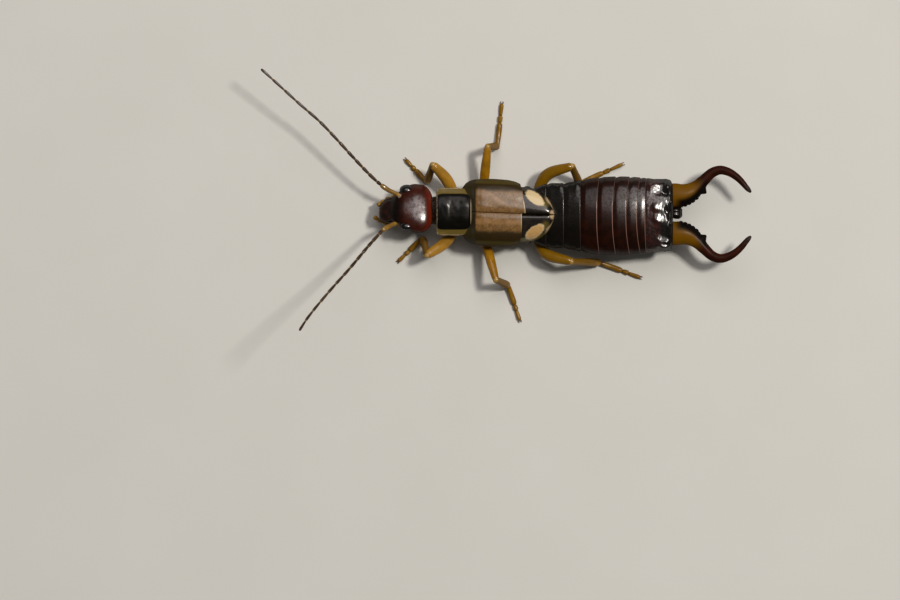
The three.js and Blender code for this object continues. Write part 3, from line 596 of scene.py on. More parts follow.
# On the legs, pale is a painted highlight at the knees and on the front thighs, shin is painted shade on
# the upper shin, and a darker brown is painted shade on the hind thighs.
LEG_HORN = horn(
    "leg_horn", rgb(134, 92, 6), rgb(160, 112, 14),
    over("shin", rgb(106, 74, 10), 0.3), over("pale", rgb(196, 160, 88)), over("deep", rgb(112, 80, 2)),
    rough=0.32, coat=0.5, shine=0.15,
)
FOOT_HORN = horn(
    "foot_horn", rgb(112, 78, 8), rgb(136, 98, 16),
    over("pale", rgb(90, 60, 10)), over("claw", rgb(84, 54, 18)),
    rough=0.4, coat=0.2, gloss=0.2, shine=0.1,
)
FEELER_HORN = horn(
    "feeler_horn", rgb(46, 34, 20), rgb(68, 50, 30), over("pale", rgb(132, 106, 66)),
    rough=0.4, coat=0.2,
)
ROOT_HORN = horn(
    "feeler_root_horn", rgb(114, 82, 24), rgb(144, 108, 42), over("pale", rgb(176, 140, 92)),
    rough=0.3, coat=0.6,
)
PALP_HORN = horn(
    "palp_horn", rgb(124, 88, 20), rgb(150, 110, 36), over("pale", rgb(90, 60, 20)),
    rough=0.32, coat=0.4,
)
BODY_HORN = horn(
    "body_horn", rgb(58, 38, 18), rgb(104, 72, 32), over("dark", rgb(18, 12, 9)),
    rough=0.34, coat=0.4,
)
NECK_SKIN = horn(
    "neck_skin", rgb(16, 10, 7), rgb(74, 54, 40), patch=0.07, rough=0.45, depth=0.004, coat=0.2,
)
EYE_GLASS = horn(
    "eye_glass", rgb(7, 5, 7), rgb(14, 10, 11),
    rough=0.35, grain=0.03, coat=0.9, gloss=0.22, shine=0.1,
)
MOUTH_HORN = horn(
    "mouth_horn", rgb(16, 7, 4), rgb(44, 18, 9), patch=0.2, rough=0.36, coat=0.3, gloss=0.2,
)
print("finishes:", len(bpy.data.materials))

# %% [markdown]
# ## The trunk's outline
# Everything behind the head hangs on one outline: how wide the animal is, and how high its back and
# belly stand, from front to rear. The middle line bows a little to the left, as it does in a live
# animal that walks. The same rows shape the solids, so what is built here fits over them.

# %% Rows of the trunk
TRUNK = [  # x, half width, height of the back, height of the belly
    [0.1, 0.56, 1.6, 0.98], [0.8, 0.72, 1.66, 0.84], [1.6, 0.8, 1.7, 0.8], [2.6, 0.86, 1.74, 0.8],
    [3.6, 0.96, 1.72, 0.84], [4.1, 1.14, 1.72, 0.92], [4.69, 1.36, 1.84, 0.96],
    [5.44, 1.41, 2.1, 0.92], [6.15, 1.53, 2.28, 0.82], [6.86, 1.65, 2.38, 0.73],
    [7.53, 1.69, 2.42, 0.67], [8.11, 1.69, 2.4, 0.67], [8.57, 1.66, 2.36, 0.71],
    [8.96, 1.61, 2.3, 0.77],
]
TRUNK_SQUARENESS = 0.86
TRUNK_AROUND = 128
SWAY = 0.165
SWAY_CENTRE = 7.0
SWAY_REACH = 6.5
OVERHANG = 0.04  # how far the back plates stand out over the belly plates
OVERHANG_PLACE = (0.22, 0.32)  # how far down the side, as shares of the half height


def trunk_middle(x):
    """The sideways place of the middle line: a parabola that is furthest left at the sway's centre."""
    return -SWAY * (1 - ((x - SWAY_CENTRE) / SWAY_REACH) ** 2)


def trunk_length(front, rear, front_bow, rear_bow, inset, along):
    """A length of the trunk. A ring's points run back by the bow times the square of the cosine of the
    angle, so most at the sides, and the whole is drawn in by inset, a value for each ring. Below the
    overhang of the back plates it is drawn in a little more."""
    angle = angles(TRUNK_AROUND)[None, :]
    spread = np.cos(angle) ** 2
    start, end = front + front_bow * spread, rear + rear_bow * spread
    x = start + (end - start) * along[:, None]
    half_width, top, bottom = np.moveaxis(smooth(TRUNK, x), -1, 0)
    across, up = power(np.cos(angle), TRUNK_SQUARENESS), power(np.sin(angle), TRUNK_SQUARENESS)
    across, up = np.broadcast_to(across, x.shape), np.broadcast_to(up, x.shape)
    drawn = inset[:, None] + OVERHANG * step(-up, *OVERHANG_PLACE)
    y = trunk_middle(x) + across * (half_width - drawn)
    z = (top + bottom) / 2 + up * ((top - bottom) / 2 - drawn)
    return np.stack([x, y, z], axis=-1), across, up


print("half width at the fifth ring:", smooth(TRUNK, np.array(6.86))[0])

# %% [markdown]
# ## The abdomen, one roof tile after another
# Each ring of the abdomen tucks its front edge under the one before, and its rear edge stands a
# little proud and thin. Its pale colour there is partly the ring's own and partly a painted highlight
# on the lip, and that edge is what the eye follows down the back. A ring could be a cylinder with a
# bevel, but a profile along the length gives the tuck, the swelling and the turned-in lip in one
# sweep. The third and fourth rings have a lump on either side, where the real ones have the openings
# of a gland.

# %% Abdomen rings
RINGS = [  # name, rear edge, how far its sides run back, size of the lump on each side, slot
    ("base", 4.69, 0.0, 0.0, "abdomen_dark"), ("3", 5.44, 0.0, 0.05, "abdomen_dark"),
    ("4", 6.15, 0.04, 0.07, "abdomen_dark"), ("5", 6.86, 0.12, 0.0, "abdomen"),
    ("6", 7.53, 0.16, 0.0, "abdomen"), ("7", 8.11, 0.18, 0.0, "abdomen"),
    ("8", 8.57, 0.18, 0.0, "abdomen"), ("9", 8.93, 0.06, 0.0, "abdomen"),
]
RING_POLISH = [  # x, how bright the coat is
    [4.3, 0.95], [5.3, 0.96], [5.9, 0.64], [6.4, 0.34], [7.2, 0.4], [7.8, 0.6], [8.3, 0.84], [8.8, 1.0],
]
FIRST_RING = 4.1
TUCK = 0.14  # the length that lies under the ring before
TUCK_DEPTH = 0.05
LIP = 0.035
LIP_TURN = np.linspace(0.15, 1.57, 9)
BEHIND_LIP = np.array([[0.006, 0.05], [0.05, 0.09], [0.12, 0.2]])  # how far back, how far drawn in
LUMP = {"before_rear": 0.16, "length": 0.13, "up": 0.5, "spread": 0.22}


def ring_profile(length):
    """How far along a ring its rows lie, and how far each is drawn in: under the ring before, then
    none from a little behind it, then a rounded lip that turns back inside."""
    plain = np.concatenate([np.linspace(0, 0.3, 20), np.linspace(0.32, length - LIP, 26)])
    lip_run = length - LIP + LIP * np.sin(LIP_TURN)
    run = np.concatenate([plain, lip_run, length - BEHIND_LIP[:, 0]])
    inset = TUCK_DEPTH * (1 - step(run, TUCK * 0.75, TUCK + 0.22))
    lip = slice(len(plain), len(plain) + len(LIP_TURN))
    inset[lip] = LIP * 0.9 * (1 - np.cos(LIP_TURN))
    inset[lip.stop:] = BEHIND_LIP[:, 1]
    return run, inset


def back_ring(name, front, rear, front_bow, rear_bow, lump, slot):
    """One ring. Its lumps are a bell curve along times a bell curve of the height, and push the surface
    up and, half as much, out. The rim's pale colour is partly the ring's own and partly a painted
    highlight: brightest in the middle, on the top only. The coat dulls to the left."""
    length = rear - front + TUCK
    run, inset = ring_profile(length)
    grid, across, up = trunk_length(front - TUCK, rear, front_bow, rear_bow, inset, run / length)
    if lump:
        near = bell(grid[..., 0], rear - LUMP["before_rear"], LUMP["length"])
        near = near * bell(up, LUMP["up"], LUMP["spread"]) * (np.abs(across) > 0.3)
        grid[..., 1] += np.sign(across) * lump * near * 0.5
        grid[..., 2] += lump * near
    # The rim mark is a pale line on each lip, partly a painted highlight: brightest in the middle and
    # only on the top.
    rim = step(run, length - 0.032, length - 0.012)[:, None] * step(up, 0.0, 0.5)
    rim = rim * (0.32 + 0.55 * bell(across, -0.05, 0.5) - 0.16 * step(across, 0.2, 0.8))
    polish = smooth(RING_POLISH, grid[..., 0])[..., 0]
    polish = polish * (1 - 0.82 * step(-grid[..., 1], 0.1, 0.8))
    marks = {"rim": rim, "belly": step(-up, 0.24, 0.34), "polish": polish}
    finish = DARK_RING_HORN if slot == "abdomen_dark" else RING_HORN
    piece(f"back_ring_{name}", [(grid, marks)], finish, [f"abdomen_{name}"])


front, front_bow = FIRST_RING, 0.0
for name, rear, rear_bow, lump, slot in RINGS:
    back_ring(name, front, rear, front_bow, rear_bow, lump, slot)
    front, front_bow = rear, rear_bow

# %% [markdown]
# ## The last plate, over the roots of the pincers
# The last ring is one stiff box that holds the pincers. Its back is rumpled: swellings at the rear
# corners and over the roots of the pincers, a hollow between, and some nearly flat patches that catch
# the sun. A sculpt would do, but tables of bell curves and tilted planes say the same thing, and each
# mound can be moved by a number. Two waves that cross add the finest wrinkles.

# %% Last plate
LAST_PLATE = [
    [8.84, 1.56, 2.23, 0.84], [8.96, 1.6, 2.27, 0.8], [9.25, 1.57, 2.31, 0.82],
    [9.65, 1.56, 2.33, 0.86], [9.92, 1.54, 2.3, 0.92], [10.06, 1.46, 2.22, 1.0],
    [10.13, 1.3, 2.1, 1.1],
]
MOUNDS = [  # x, sideways place, height, length, width
    [9.98, -0.06, -0.08, 0.12, 0.26], [9.92, 1.12, 0.12, 0.14, 0.17], [9.8, -1.4, 0.12, 0.2, 0.16],
    [10.05, 0.42, 0.07, 0.07, 0.1], [10.04, -0.52, 0.07, 0.07, 0.1], [9.98, -1.0, 0.05, 0.08, 0.12],
]
FACETS = [  # x, sideways place, lift, slope along, slope across, length, width
    [9.4, 1.0, 0.03, -0.2, -0.1, 0.32, 0.3], [9.48, 0.2, 0.04, -0.2, -0.1, 0.24, 0.2],
    [9.54, -0.28, 0.03, -0.2, -0.1, 0.26, 0.23], [9.76, -1.47, 0.09, -0.2, -0.1, 0.26, 0.14],
    [9.82, 0.84, -0.05, 0.12, 0.35, 0.17, 0.14], [9.74, -0.88, -0.06, 0.1, 0.3, 0.3, 0.33],
    [9.86, 0.12, -0.02, 0.15, 0.25, 0.1, 0.2],
]
PLATE_SQUARENESS = 0.84
WRINKLE = 0.0048
PLATE_BOW = 0.06


def mounds(grid, table):
    """Height to add: the sum, over the table, of a bell curve along and a bell curve across."""
    x, y, height, length, width = (np.array(column)[:, None, None] for column in zip(*table))
    return (height * bell(grid[..., 0], x, length) * bell(grid[..., 1], y, width)).sum(axis=0)


def facets(grid, table, above):
    """Presses tilted planes into the surface, one after another. A plane passes through the mean height
    of its patch, plus its lift, and fades by a bell of the distance to the fourth power, so the middle
    of each patch is flat and mirrors a lamp as one soft spot."""
    for x, y, lift, along, across, length, width in table:
        run, out = grid[..., 0] - x, grid[..., 1] - y
        near = above * np.exp(-(((run / length) ** 2 + (out / width) ** 2) ** 2))
        level = (near * grid[..., 2]).sum() / near.sum() + lift
        grid[..., 2] += near * (level + run * along + out * across - grid[..., 2])


def last_plate():
    """Rings across X that close at the rear as a sine does. The back gets its mounds, its flat patches
    and its wrinkles, and the front edge bows back by the square of the distance from the middle."""
    x = np.concatenate([np.linspace(8.84, 10.0, 110), 10.0 + 0.13 * np.sin(np.linspace(0.06, 1.57, 24))])
    grid, across, _ = oval(x, smooth(LAST_PLATE, x), trunk_middle(x), PLATE_SQUARENESS, 220)
    above = step(grid[..., 2], 1.6, 2.05)
    grid[..., 2] += above * mounds(grid, MOUNDS)
    facets(grid, FACETS, above)
    x, y = grid[..., 0], grid[..., 1]
    waves = np.sin(26 * x + 9 * y + 2 * np.sin(7 * y)) * np.sin(21 * y - 13 * x)
    grid[..., 2] += above * WRINKLE * waves
    grid[..., 0] += PLATE_BOW * across**2 * (1 - step(x, 8.96, 9.7))
    out = np.abs(grid[..., 1] - trunk_middle(grid[..., 0]))
    polish = 1 - 0.55 * step(grid[..., 0], 9.75, 9.95) * (1 - step(out, 1.2, 1.35))
    return grid, {"black": step(grid[..., 0], 9.4, 9.75), "polish": polish}


piece("last_plate_cover", [last_plate()], LAST_HORN, ["last_plate"])

# %% Tail lobe, a small knob with a groove along its top
TAIL_LOBE = [[10.0, 0.2, 1.74, 1.22], [10.15, 0.24, 1.84, 1.2], [10.32, 0.27, 1.84, 1.18],
             [10.46, 0.24, 1.76, 1.22], [10.55, 0.15, 1.62, 1.3]]
TAIL_LOBE_Y = -0.03

x = np.concatenate([np.linspace(10.0, 10.46, 30), 10.46 + 0.09 * np.sin(np.linspace(0.1, 1.57, 14))])
lobe, _, _ = oval(x, smooth(TAIL_LOBE, x), np.full(len(x), TAIL_LOBE_Y), 0.98, 48)
lobe[..., 2] -= 0.05 * bell(lobe[..., 1], TAIL_LOBE_Y, 0.08) * step(lobe[..., 2], 1.5, 1.7)
piece("tail_tip", [(lobe, {"black": 1.0, "polish": 0.4})], LAST_HORN, ["tail_lobe"])

# %% [markdown]
# ## The pincers
# A male's pincers start as two broad blades with a toothed inner edge, then narrow and sweep round in
# a bow until the tips almost meet. They are horn, ochre at the root and red-brown beyond. An oval
# carried along a curve gives the bow; the blade and its teeth push the inner side of each oval out.

# %% Pincers
PINCER_LINE = [  # x, how far out
    [9.95, 0.83], [10.23, 0.83], [10.55, 0.84], [10.88, 0.95], [11.18, 1.16], [11.48, 1.46],
    [11.83, 1.78], [12.17, 1.9], [12.51, 1.83], [12.81, 1.66], [13.07, 1.43], [13.3, 1.16],
    [13.5, 0.94],
]
PINCER_HEIGHT = [[9.95, 1.5], [11.5, 1.46], [13.5, 1.62]]
PINCER_WIDTH = [  # x, half width, half height
    [9.95, 0.5, 0.3], [10.4, 0.49, 0.32], [10.8, 0.42, 0.29], [11.05, 0.35, 0.25], [11.25, 0.29, 0.23],
    [11.5, 0.245, 0.21], [12.0, 0.205, 0.19], [12.5, 0.178, 0.17], [12.95, 0.148, 0.15],
    [13.25, 0.12, 0.12], [13.42, 0.09, 0.09], [13.5, 0.045, 0.045],
]
BLADE = 0.02
TEETH = {"front": 10.42, "rear": 11.04, "pitch": 0.13, "reach": 0.05}
FANG = {"x": 11.26, "reach": 0.17, "length": 0.075}


def pincer(side):
    """An oval carried along the bow. On its inner side it is pushed out by the fourth power of the
    cosine, which thins it to an edge, with a row of teeth, scalloped as a sine is, and one large tooth
    in the shape of a bell curve."""
    line = np.array(PINCER_LINE)
    height = smooth(PINCER_HEIGHT, line[:, 0])
    middle = trunk_middle(10.13) + 0.03
    path = Path(np.column_stack([line[:, 0], middle + side * line[:, 1], height]))
    points, _, sideways, lift = path.read(np.linspace(0, path.length, 460))
    x = points[:, 0]
    half_width, half_height = smooth(PINCER_WIDTH, x).T
    angle = angles(64)[None, :]
    inner = np.clip(np.cos(angle) * side, 0, 1)
    starts = step(x, TEETH["front"] - 0.1, TEETH["front"])
    stops = 1 - step(x, TEETH["rear"], TEETH["rear"] + 0.1)
    teeth = TEETH["reach"] * np.abs(np.sin(x * np.pi / TEETH["pitch"])) ** 0.7 * (starts * stops)
    fang = FANG["reach"] * bell(x, FANG["x"], FANG["length"])
    blade = BLADE * (1 - step(x, 11.1, 11.4)) + teeth + fang
    wide = np.cos(angle) * half_width[:, None] + inner**4 * blade[:, None] * side
    high = np.sin(angle) * half_height[:, None]
    grid = points[:, None] + sideways[:, None] * wide[..., None] + lift[:, None] * high[..., None]
    x = x[:, None]
    dark = step(x + inner * 0.5, 11.0, 11.55)
    marks = {
        "ochre": 1 - dark,
        "inner": step(inner, 0.12, 0.6) * step(x, 10.1, 10.5) * (1 - step(x, 11.35, 11.7)),
        "tip": step(x, 13.1, 13.5) * np.ones_like(angle),
    }
    return grid, marks


for name, side in SIDES.items():
    piece(f"pincer_arm_{name}", [pincer(side)], PINCER_HORN, [f"pincer_{name}"])

# %% [markdown]
# ## Beads on a line
# A feeler is a string of small clubs, each narrow where it leaves the one before and round at its
# end, with a softer ring between. Palps are the same thing with fewer beads. One function makes a
# bead, so a feeler is a list of lengths.


# %% Beads
CLUB = [[0.0, 0.66], [0.2, 0.82], [0.6, 0.98], [0.85, 1.0], [1.0, 0.86]]
OVERLAP = 0.02  # how far a bead reaches into its neighbours


def bead(path, start, length, radius, shape=CLUB, flat=1.0, around=24, count=26, **marks):
    """A rounded club from start, length long, along a path. Its half width is radius times the shape's
    rows. The mark pale is 1 at its root and fades by a fifth of its length."""
    rows = [[share, value * radius] for share, value in shape]
    distance, half_width, half_height, turn = rounded(rows, length + 2 * OVERLAP, flat, count)
    grid = limb(path, start - OVERLAP + distance, half_width, half_height, around)
    own = {"pale": (1 - step(turn, 0.06, 0.2))[:, None]}
    own.update({name: np.full((count, 1), value) for name, value in marks.items()})
    return grid, own


def beads(path, lengths, radii, start=0.0):
    """Beads one after another, each with its own length and radius."""
    starts = start + np.concatenate([[0.0], np.cumsum(lengths)[:-1]])
    return [bead(path, *row) for row in zip(starts, lengths, radii)]


print("a club is widest at share", max(CLUB, key=lambda row: row[1])[0])

# %% [markdown]
# ## The head
# Seen from above an earwig's head is a heart, widest behind the eyes, domed and very smooth, with a
# fine Y-shaped seam on the crown, where the young insect once split its skin. This one rolls its head
# a little to the right, which lifts the left feeler. The roll is a shear: what lies to the left goes
# up, in proportion to its distance from the middle.

# %% Head
HEAD = [  # x, half width, height of the crown, height of the underside
    [-1.99, 0.44, 1.47, 1.04], [-1.9, 0.53, 1.55, 0.97], [-1.75, 0.63, 1.65, 0.92],
    [-1.5, 0.79, 1.745, 0.86], [-1.3, 0.92, 1.79, 0.83], [-1.12, 1.01, 1.825, 0.81],
    [-0.97, 1.045, 1.85, 0.8], [-0.8, 1.045, 1.86, 0.79], [-0.7, 1.04, 1.85, 0.79],
    [-0.6, 1.02, 1.832, 0.8], [-0.5, 0.975, 1.81, 0.83], [-0.42, 0.92, 1.78, 0.86],
    [-0.34, 0.83, 1.73, 0.9], [-0.26, 0.7, 1.66, 0.95], [-0.2, 0.5, 1.56, 1.04],
    [-0.175, 0.24, 1.42, 1.16],
]
HEAD_FRONT = -1.99
HEAD_LENGTH = 1.815
HEAD_SQUARENESS = 0.84
HEAD_ROLL = 0.25
SEAM_DEPTH = 0.008
BROW_DENT = 0.04
LABRUM = [[-1.9, 0.42, 1.48, 1.1], [-2.07, 0.45, 1.42, 1.12], [-2.2, 0.44, 1.37, 1.1],
          [-2.36, 0.36, 1.29, 1.08], [-2.45, 0.23, 1.22, 1.1], [-2.49, 0.1, 1.18, 1.12]]
HEAD_MIDDLE = [[-2.5, -0.03], [-2.02, 0.085], [-1.6, 0.18], [-1.16, 0.18], [-0.73, 0.155], [-0.17, 0.13]]
EYE = {"x": -1.3, "out": 0.78, "z": 1.44, "radii": [0.31, 0.22, 0.26]}


def head_middle(x):
    """The head's middle line, which bends to the left towards the mouth."""
    return smooth(HEAD_MIDDLE, x)[..., 0]


def rolled(grid):
    """The head's shear: height grows by the roll for each millimetre to the left."""
    grid[..., 2] -= HEAD_ROLL * (grid[..., 1] - head_middle(grid[..., 0]))
    return grid


def seam(x, out, start, end):
    """Closeness to a straight seam: a bell curve of the distance to the nearest point of the line."""
    start, end = np.array(start), np.array(end)
    run = end - start
    share = np.clip(((x - start[0]) * run[0] + (out - start[1]) * run[1]) / (run @ run), 0, 1)
    gap = np.hypot(x - start[0] - share * run[0], out - start[1] - share * run[1])
    return bell(gap, 0, 0.025)


def head():
    """Rings across X, crowded at both ends as a cosine does. A straight seam runs forward along the
    crown and splits in two, the brow has a bell-shaped dent over each feeler, and the rear edge has
    a shallow notch in the middle."""
    turn = (1 - np.cos(np.linspace(0.1, np.pi - 0.1, 150))) / 2
    x = HEAD_FRONT + HEAD_LENGTH * turn
    grid, _, up = oval(x, smooth(HEAD, x), head_middle(x), HEAD_SQUARENESS, 180)
    out = grid[..., 1] - head_middle(grid[..., 0])
    above = step(up, 0.2, 0.6)
    grid[..., 0] -= 0.015 * step(grid[..., 0], -0.6, -0.26) * bell(out, 0, 0.4)
    crown = seam(grid[..., 0], out, (-0.3, 0.0), (-1.0, 0.0))
    arms = 0.5 * seam(grid[..., 0], np.abs(out), (-1.0, 0.0), (-1.5, 0.36))
    brow = bell(grid[..., 0], -1.62, 0.12) * bell(np.abs(out), 0.42, 0.12)
    grid[..., 2] -= above * (SEAM_DEPTH * np.maximum(crown, arms) + BROW_DENT * brow)
    from_crown = np.hypot((grid[..., 0] + 0.85) / 0.5, (grid[..., 1] - 0.16) / 0.66)
    marks = {
        "front": 1 - step(grid[..., 0], -1.8, -1.2),
        "rim": step(grid[..., 0], -0.6, -0.22) * (0.3 + 0.6 * step(up, -0.1, 0.5)),
        "polish": 0.15 + 0.85 * bell(from_crown, 0, 1),
    }
    return rolled(grid), marks


def ball(centre, radii):
    """An ellipsoid about an axis along X: the sine of the polar angle gives each ring's size."""
    polar = np.linspace(0, np.pi, 34)[1:-1, None]
    angle = angles(48)[None, :]
    x = -np.cos(polar) * np.ones_like(angle)
    grid = np.stack([x, np.sin(polar) * np.cos(angle), np.sin(polar) * np.sin(angle)], axis=-1)
    return grid * radii + np.array(centre)


print("the head is", round(2 * max(row[1] for row in HEAD), 2), "mm wide")

# %% Head, lip and eyes in place
FEELER = {
    "right": [[-1.6, 0.68, 1.4], [-1.72, 0.77, 1.44], [-2.1, 0.95, 1.54], [-2.45, 1.2, 1.62],
              [-2.88, 1.59, 1.72], [-3.66, 2.41, 1.88], [-4.17, 2.97, 1.98], [-5.03, 3.87, 2.14],
              [-5.89, 4.62, 2.3], [-6.67, 5.33, 2.45], [-7.52, 6.1, 2.6]],
    "left": [[-1.58, -0.36, 1.42], [-1.68, -0.43, 1.46], [-2.02, -0.6, 1.62], [-2.32, -0.78, 1.78],
             [-2.58, -1.06, 1.96], [-2.88, -1.4, 2.24], [-3.74, -2.45, 3.16], [-4.6, -3.44, 4.16],
             [-5.46, -4.52, 5.3], [-5.8, -5.06, 5.84]],
}
SOCKET = [[0.0, 0.8], [0.4, 1.0], [0.8, 0.95], [1.0, 0.8]]
# The sockets' pale colour is partly real membrane and partly a painted glint.
sockets = [
    bead(Path(line), -0.06, 0.13, 0.15, SOCKET, socket=0.8, polish=0.5) for line in FEELER.values()
]
piece("head_shell", [head(), *sockets], HEAD_HORN, ["head"])
x = np.concatenate([np.linspace(-1.9, -2.4, 30), -2.4 - 0.09 * np.sin(np.linspace(0.1, 1.57, 12))])[::-1]
lip, _, _ = oval(x, smooth(LABRUM, x), head_middle(x), 0.8, 64)
piece("upper_lip", [(rolled(lip), {})], MOUTH_HORN, ["labrum"])
for name, side in SIDES.items():
    centre = [EYE["x"], head_middle(EYE["x"]) + side * EYE["out"], EYE["z"]]
    dome = rolled(ball(centre, EYE["radii"]))
    piece(f"eye_dome_{name}", [(dome, {})], EYE_GLASS, [f"eye_{name}"])

# %% [markdown]
# ## Feelers
# The first joint is long, stout and amber; the rest is a dark whip of small beads that taper towards
# the tip. The lengths of the joints follow a real feeler: the second is tiny, the next few are short,
# and they grow towards the end.

# %% Feelers
FEELER_ROOT = 0.98  # length of the first joint
FEELER_JOINTS = [0.18, 0.42, 0.32, 0.38, 0.42, 0.46, 0.5, 0.54, 0.56, 0.58, 0.58, 0.58, 0.56]
SCAPE = [[0.0, 0.72], [0.15, 0.84], [0.5, 0.92], [0.85, 1.0], [1.0, 0.84]]

for name in SIDES:
    path = Path(FEELER[name])
    lengths = np.array(FEELER_JOINTS) * (path.length - FEELER_ROOT) / sum(FEELER_JOINTS)
    radii = np.concatenate([[0.08], np.linspace(0.076, 0.056, len(lengths) - 1)])
    scape = bead(path, 0.0, FEELER_ROOT, 0.105, SCAPE, count=40)
    piece(f"feeler_first_{name}", [scape], ROOT_HORN, [f"feeler_root_{name}"])
    whip = beads(path, lengths, radii, FEELER_ROOT)
    piece(f"feeler_whip_{name}", whip, FEELER_HORN, [f"feeler_{name}"])

# %% [markdown]
# ## Jaws and palps
# Under the dark upper lip sit two jaws and four small feelers for the mouth, the palps. From above
# only their tips show, but from the side they are most of the face. The jaws roll with the head.

# %% Jaws and palps
MANDIBLE = [[-1.65, 0.34, 1.0], [-2.05, 0.38, 0.98], [-2.34, 0.28, 0.96], [-2.46, 0.14, 0.97]]
CHEEK_PALP = {
    "right": [[-1.3, 0.7, 0.74], [-1.75, 0.66, 0.62], [-2.18, 0.53, 0.64], [-2.58, 0.3, 0.74]],
    "left": [[-1.3, -0.42, 0.92], [-1.8, -0.5, 0.7], [-2.3, -0.42, 0.62], [-2.72, -0.2, 0.7]],
}
CHEEK_LENGTHS = [0.28, 0.22, 0.2, 0.16, 0.14]
LIP_PALP = [[-1.4, 0.19, 0.8], [-1.75, 0.2, 0.58], [-2.1, 0.18, 0.54]]
LIP_LENGTHS = [0.42, 0.32, 0.26]
JAW = [[0.0, 0.9], [0.5, 0.9], [0.85, 0.5], [1.0, 0.25]]


def beside_head(rows, side):
    """Turns distances out from the head's middle line into places on one side of it."""
    line = np.array(rows)
    line[:, 1] = head_middle(line[:, 0]) + side * line[:, 1]
    return Path(line)


for name, side in SIDES.items():
    path = beside_head(MANDIBLE, side)
    jaw, marks = bead(path, 0.0, path.length, 0.18, JAW, 0.8, count=36)
    piece(f"jaw_{name}", [(rolled(jaw), marks)], MOUTH_HORN, [f"mandible_{name}"])
    path = Path(CHEEK_PALP[name])
    tubes = beads(path, np.array(CHEEK_LENGTHS) * path.length, np.linspace(0.14, 0.1, 5))
    piece(f"palp_cheek_{name}", tubes, PALP_HORN, [f"cheek_palp_{name}"])
    path = beside_head(LIP_PALP, side)
    tubes = beads(path, np.array(LIP_LENGTHS) * path.length, np.linspace(0.11, 0.08, 3))
    piece(f"palp_lip_{name}", tubes, PALP_HORN, [f"lip_palp_{name}"])

# %% [markdown]
# ## Neck and neck shield
# Behind the head the soft neck shows for a moment, with small hard flecks in it. Then comes the neck
# shield, a nearly square plate with a raised black middle and thin pale borders that curl up at the
# front corners. The middle is the sum of a flat-topped step and a few low mounds, so that its gloss
# breaks up as it does on the real one.

# %% Neck
NECK = [[-0.4, 0.5, 1.56, 1.0], [-0.1, 0.6, 1.6, 0.96], [0.25, 0.56, 1.6, 1.0]]
NECK_Y = 0.07
NECK_FOLD = 0.015

x = np.linspace(-0.4, 0.25, 60)
folds, _, _ = oval(x, smooth(NECK, x), np.full(len(x), NECK_Y), 0.9, 72)
folds[..., 2] += NECK_FOLD * np.sin(folds[..., 0] * 70 + np.abs(folds[..., 1]) * 9)
piece("neck_folds", [(folds, {})], NECK_SKIN, ["neck"])

# %% Neck shield
SHIELD = [[-0.03, 0.8], [0.0, 0.93], [0.1, 0.99], [0.5, 1.02], [0.95, 1.02], [1.15, 0.99],
          [1.3, 0.9], [1.4, 0.76], [1.45, 0.6], [1.47, 0.4]]
SHIELD_TOP = 2.2
SHIELD_THICK = 0.24
SHIELD_DROOP = 0.24
SHIELD_MOUNDS = [  # x, sideways place, height, length, width
    [0.34, 0.34, 0.03, 0.16, 0.2], [0.38, -0.36, 0.03, 0.16, 0.2], [0.6, 0.36, -0.025, 0.1, 0.2],
    [0.72, 0.03, -0.03, 0.42, 0.07], [1.18, 0.34, 0.025, 0.2, 0.24], [1.18, -0.3, 0.02, 0.16, 0.22],
    [0.2, 0.04, 0.02, 0.08, 0.08], [0.46, -0.04, 0.025, 0.07, 0.09], [0.7, -0.12, 0.02, 0.1, 0.08],
    [0.86, 0.14, 0.02, 0.09, 0.09], [0.96, 0.42, -0.02, 0.1, 0.14], [0.9, -0.5, -0.02, 0.12, 0.14],
    [0.3, 0.12, -0.015, 0.05, 0.06], [0.62, 0.16, 0.015, 0.05, 0.06],
]
SHIELD_SAG = 0.04
SHIELD_LEVEL = SHIELD_TOP - SHIELD_THICK / 2 - 0.08
SHIELD_ENDS = (-0.034, 1.475)
SHIELD_ROUNDING = 0.1
SHIELD_SQUARENESS = 0.5
DISC = {"x": 0.69, "half_width": 0.77, "half_length": 0.78, "height": 0.05}
CURL = 0.08
REAR_CURL = 0.06


def rounded_plan(x):
    """1 in the middle of a plate, falling to 0 at its front and rear edges as a circle's side does."""
    front = np.clip((x - SHIELD_ENDS[0]) / SHIELD_ROUNDING, 0, 1)
    back = np.clip((SHIELD_ENDS[1] - x) / SHIELD_ROUNDING, 0, 1)
    return np.sqrt(1 - (1 - front) ** 2) * np.sqrt(1 - (1 - back) ** 2)


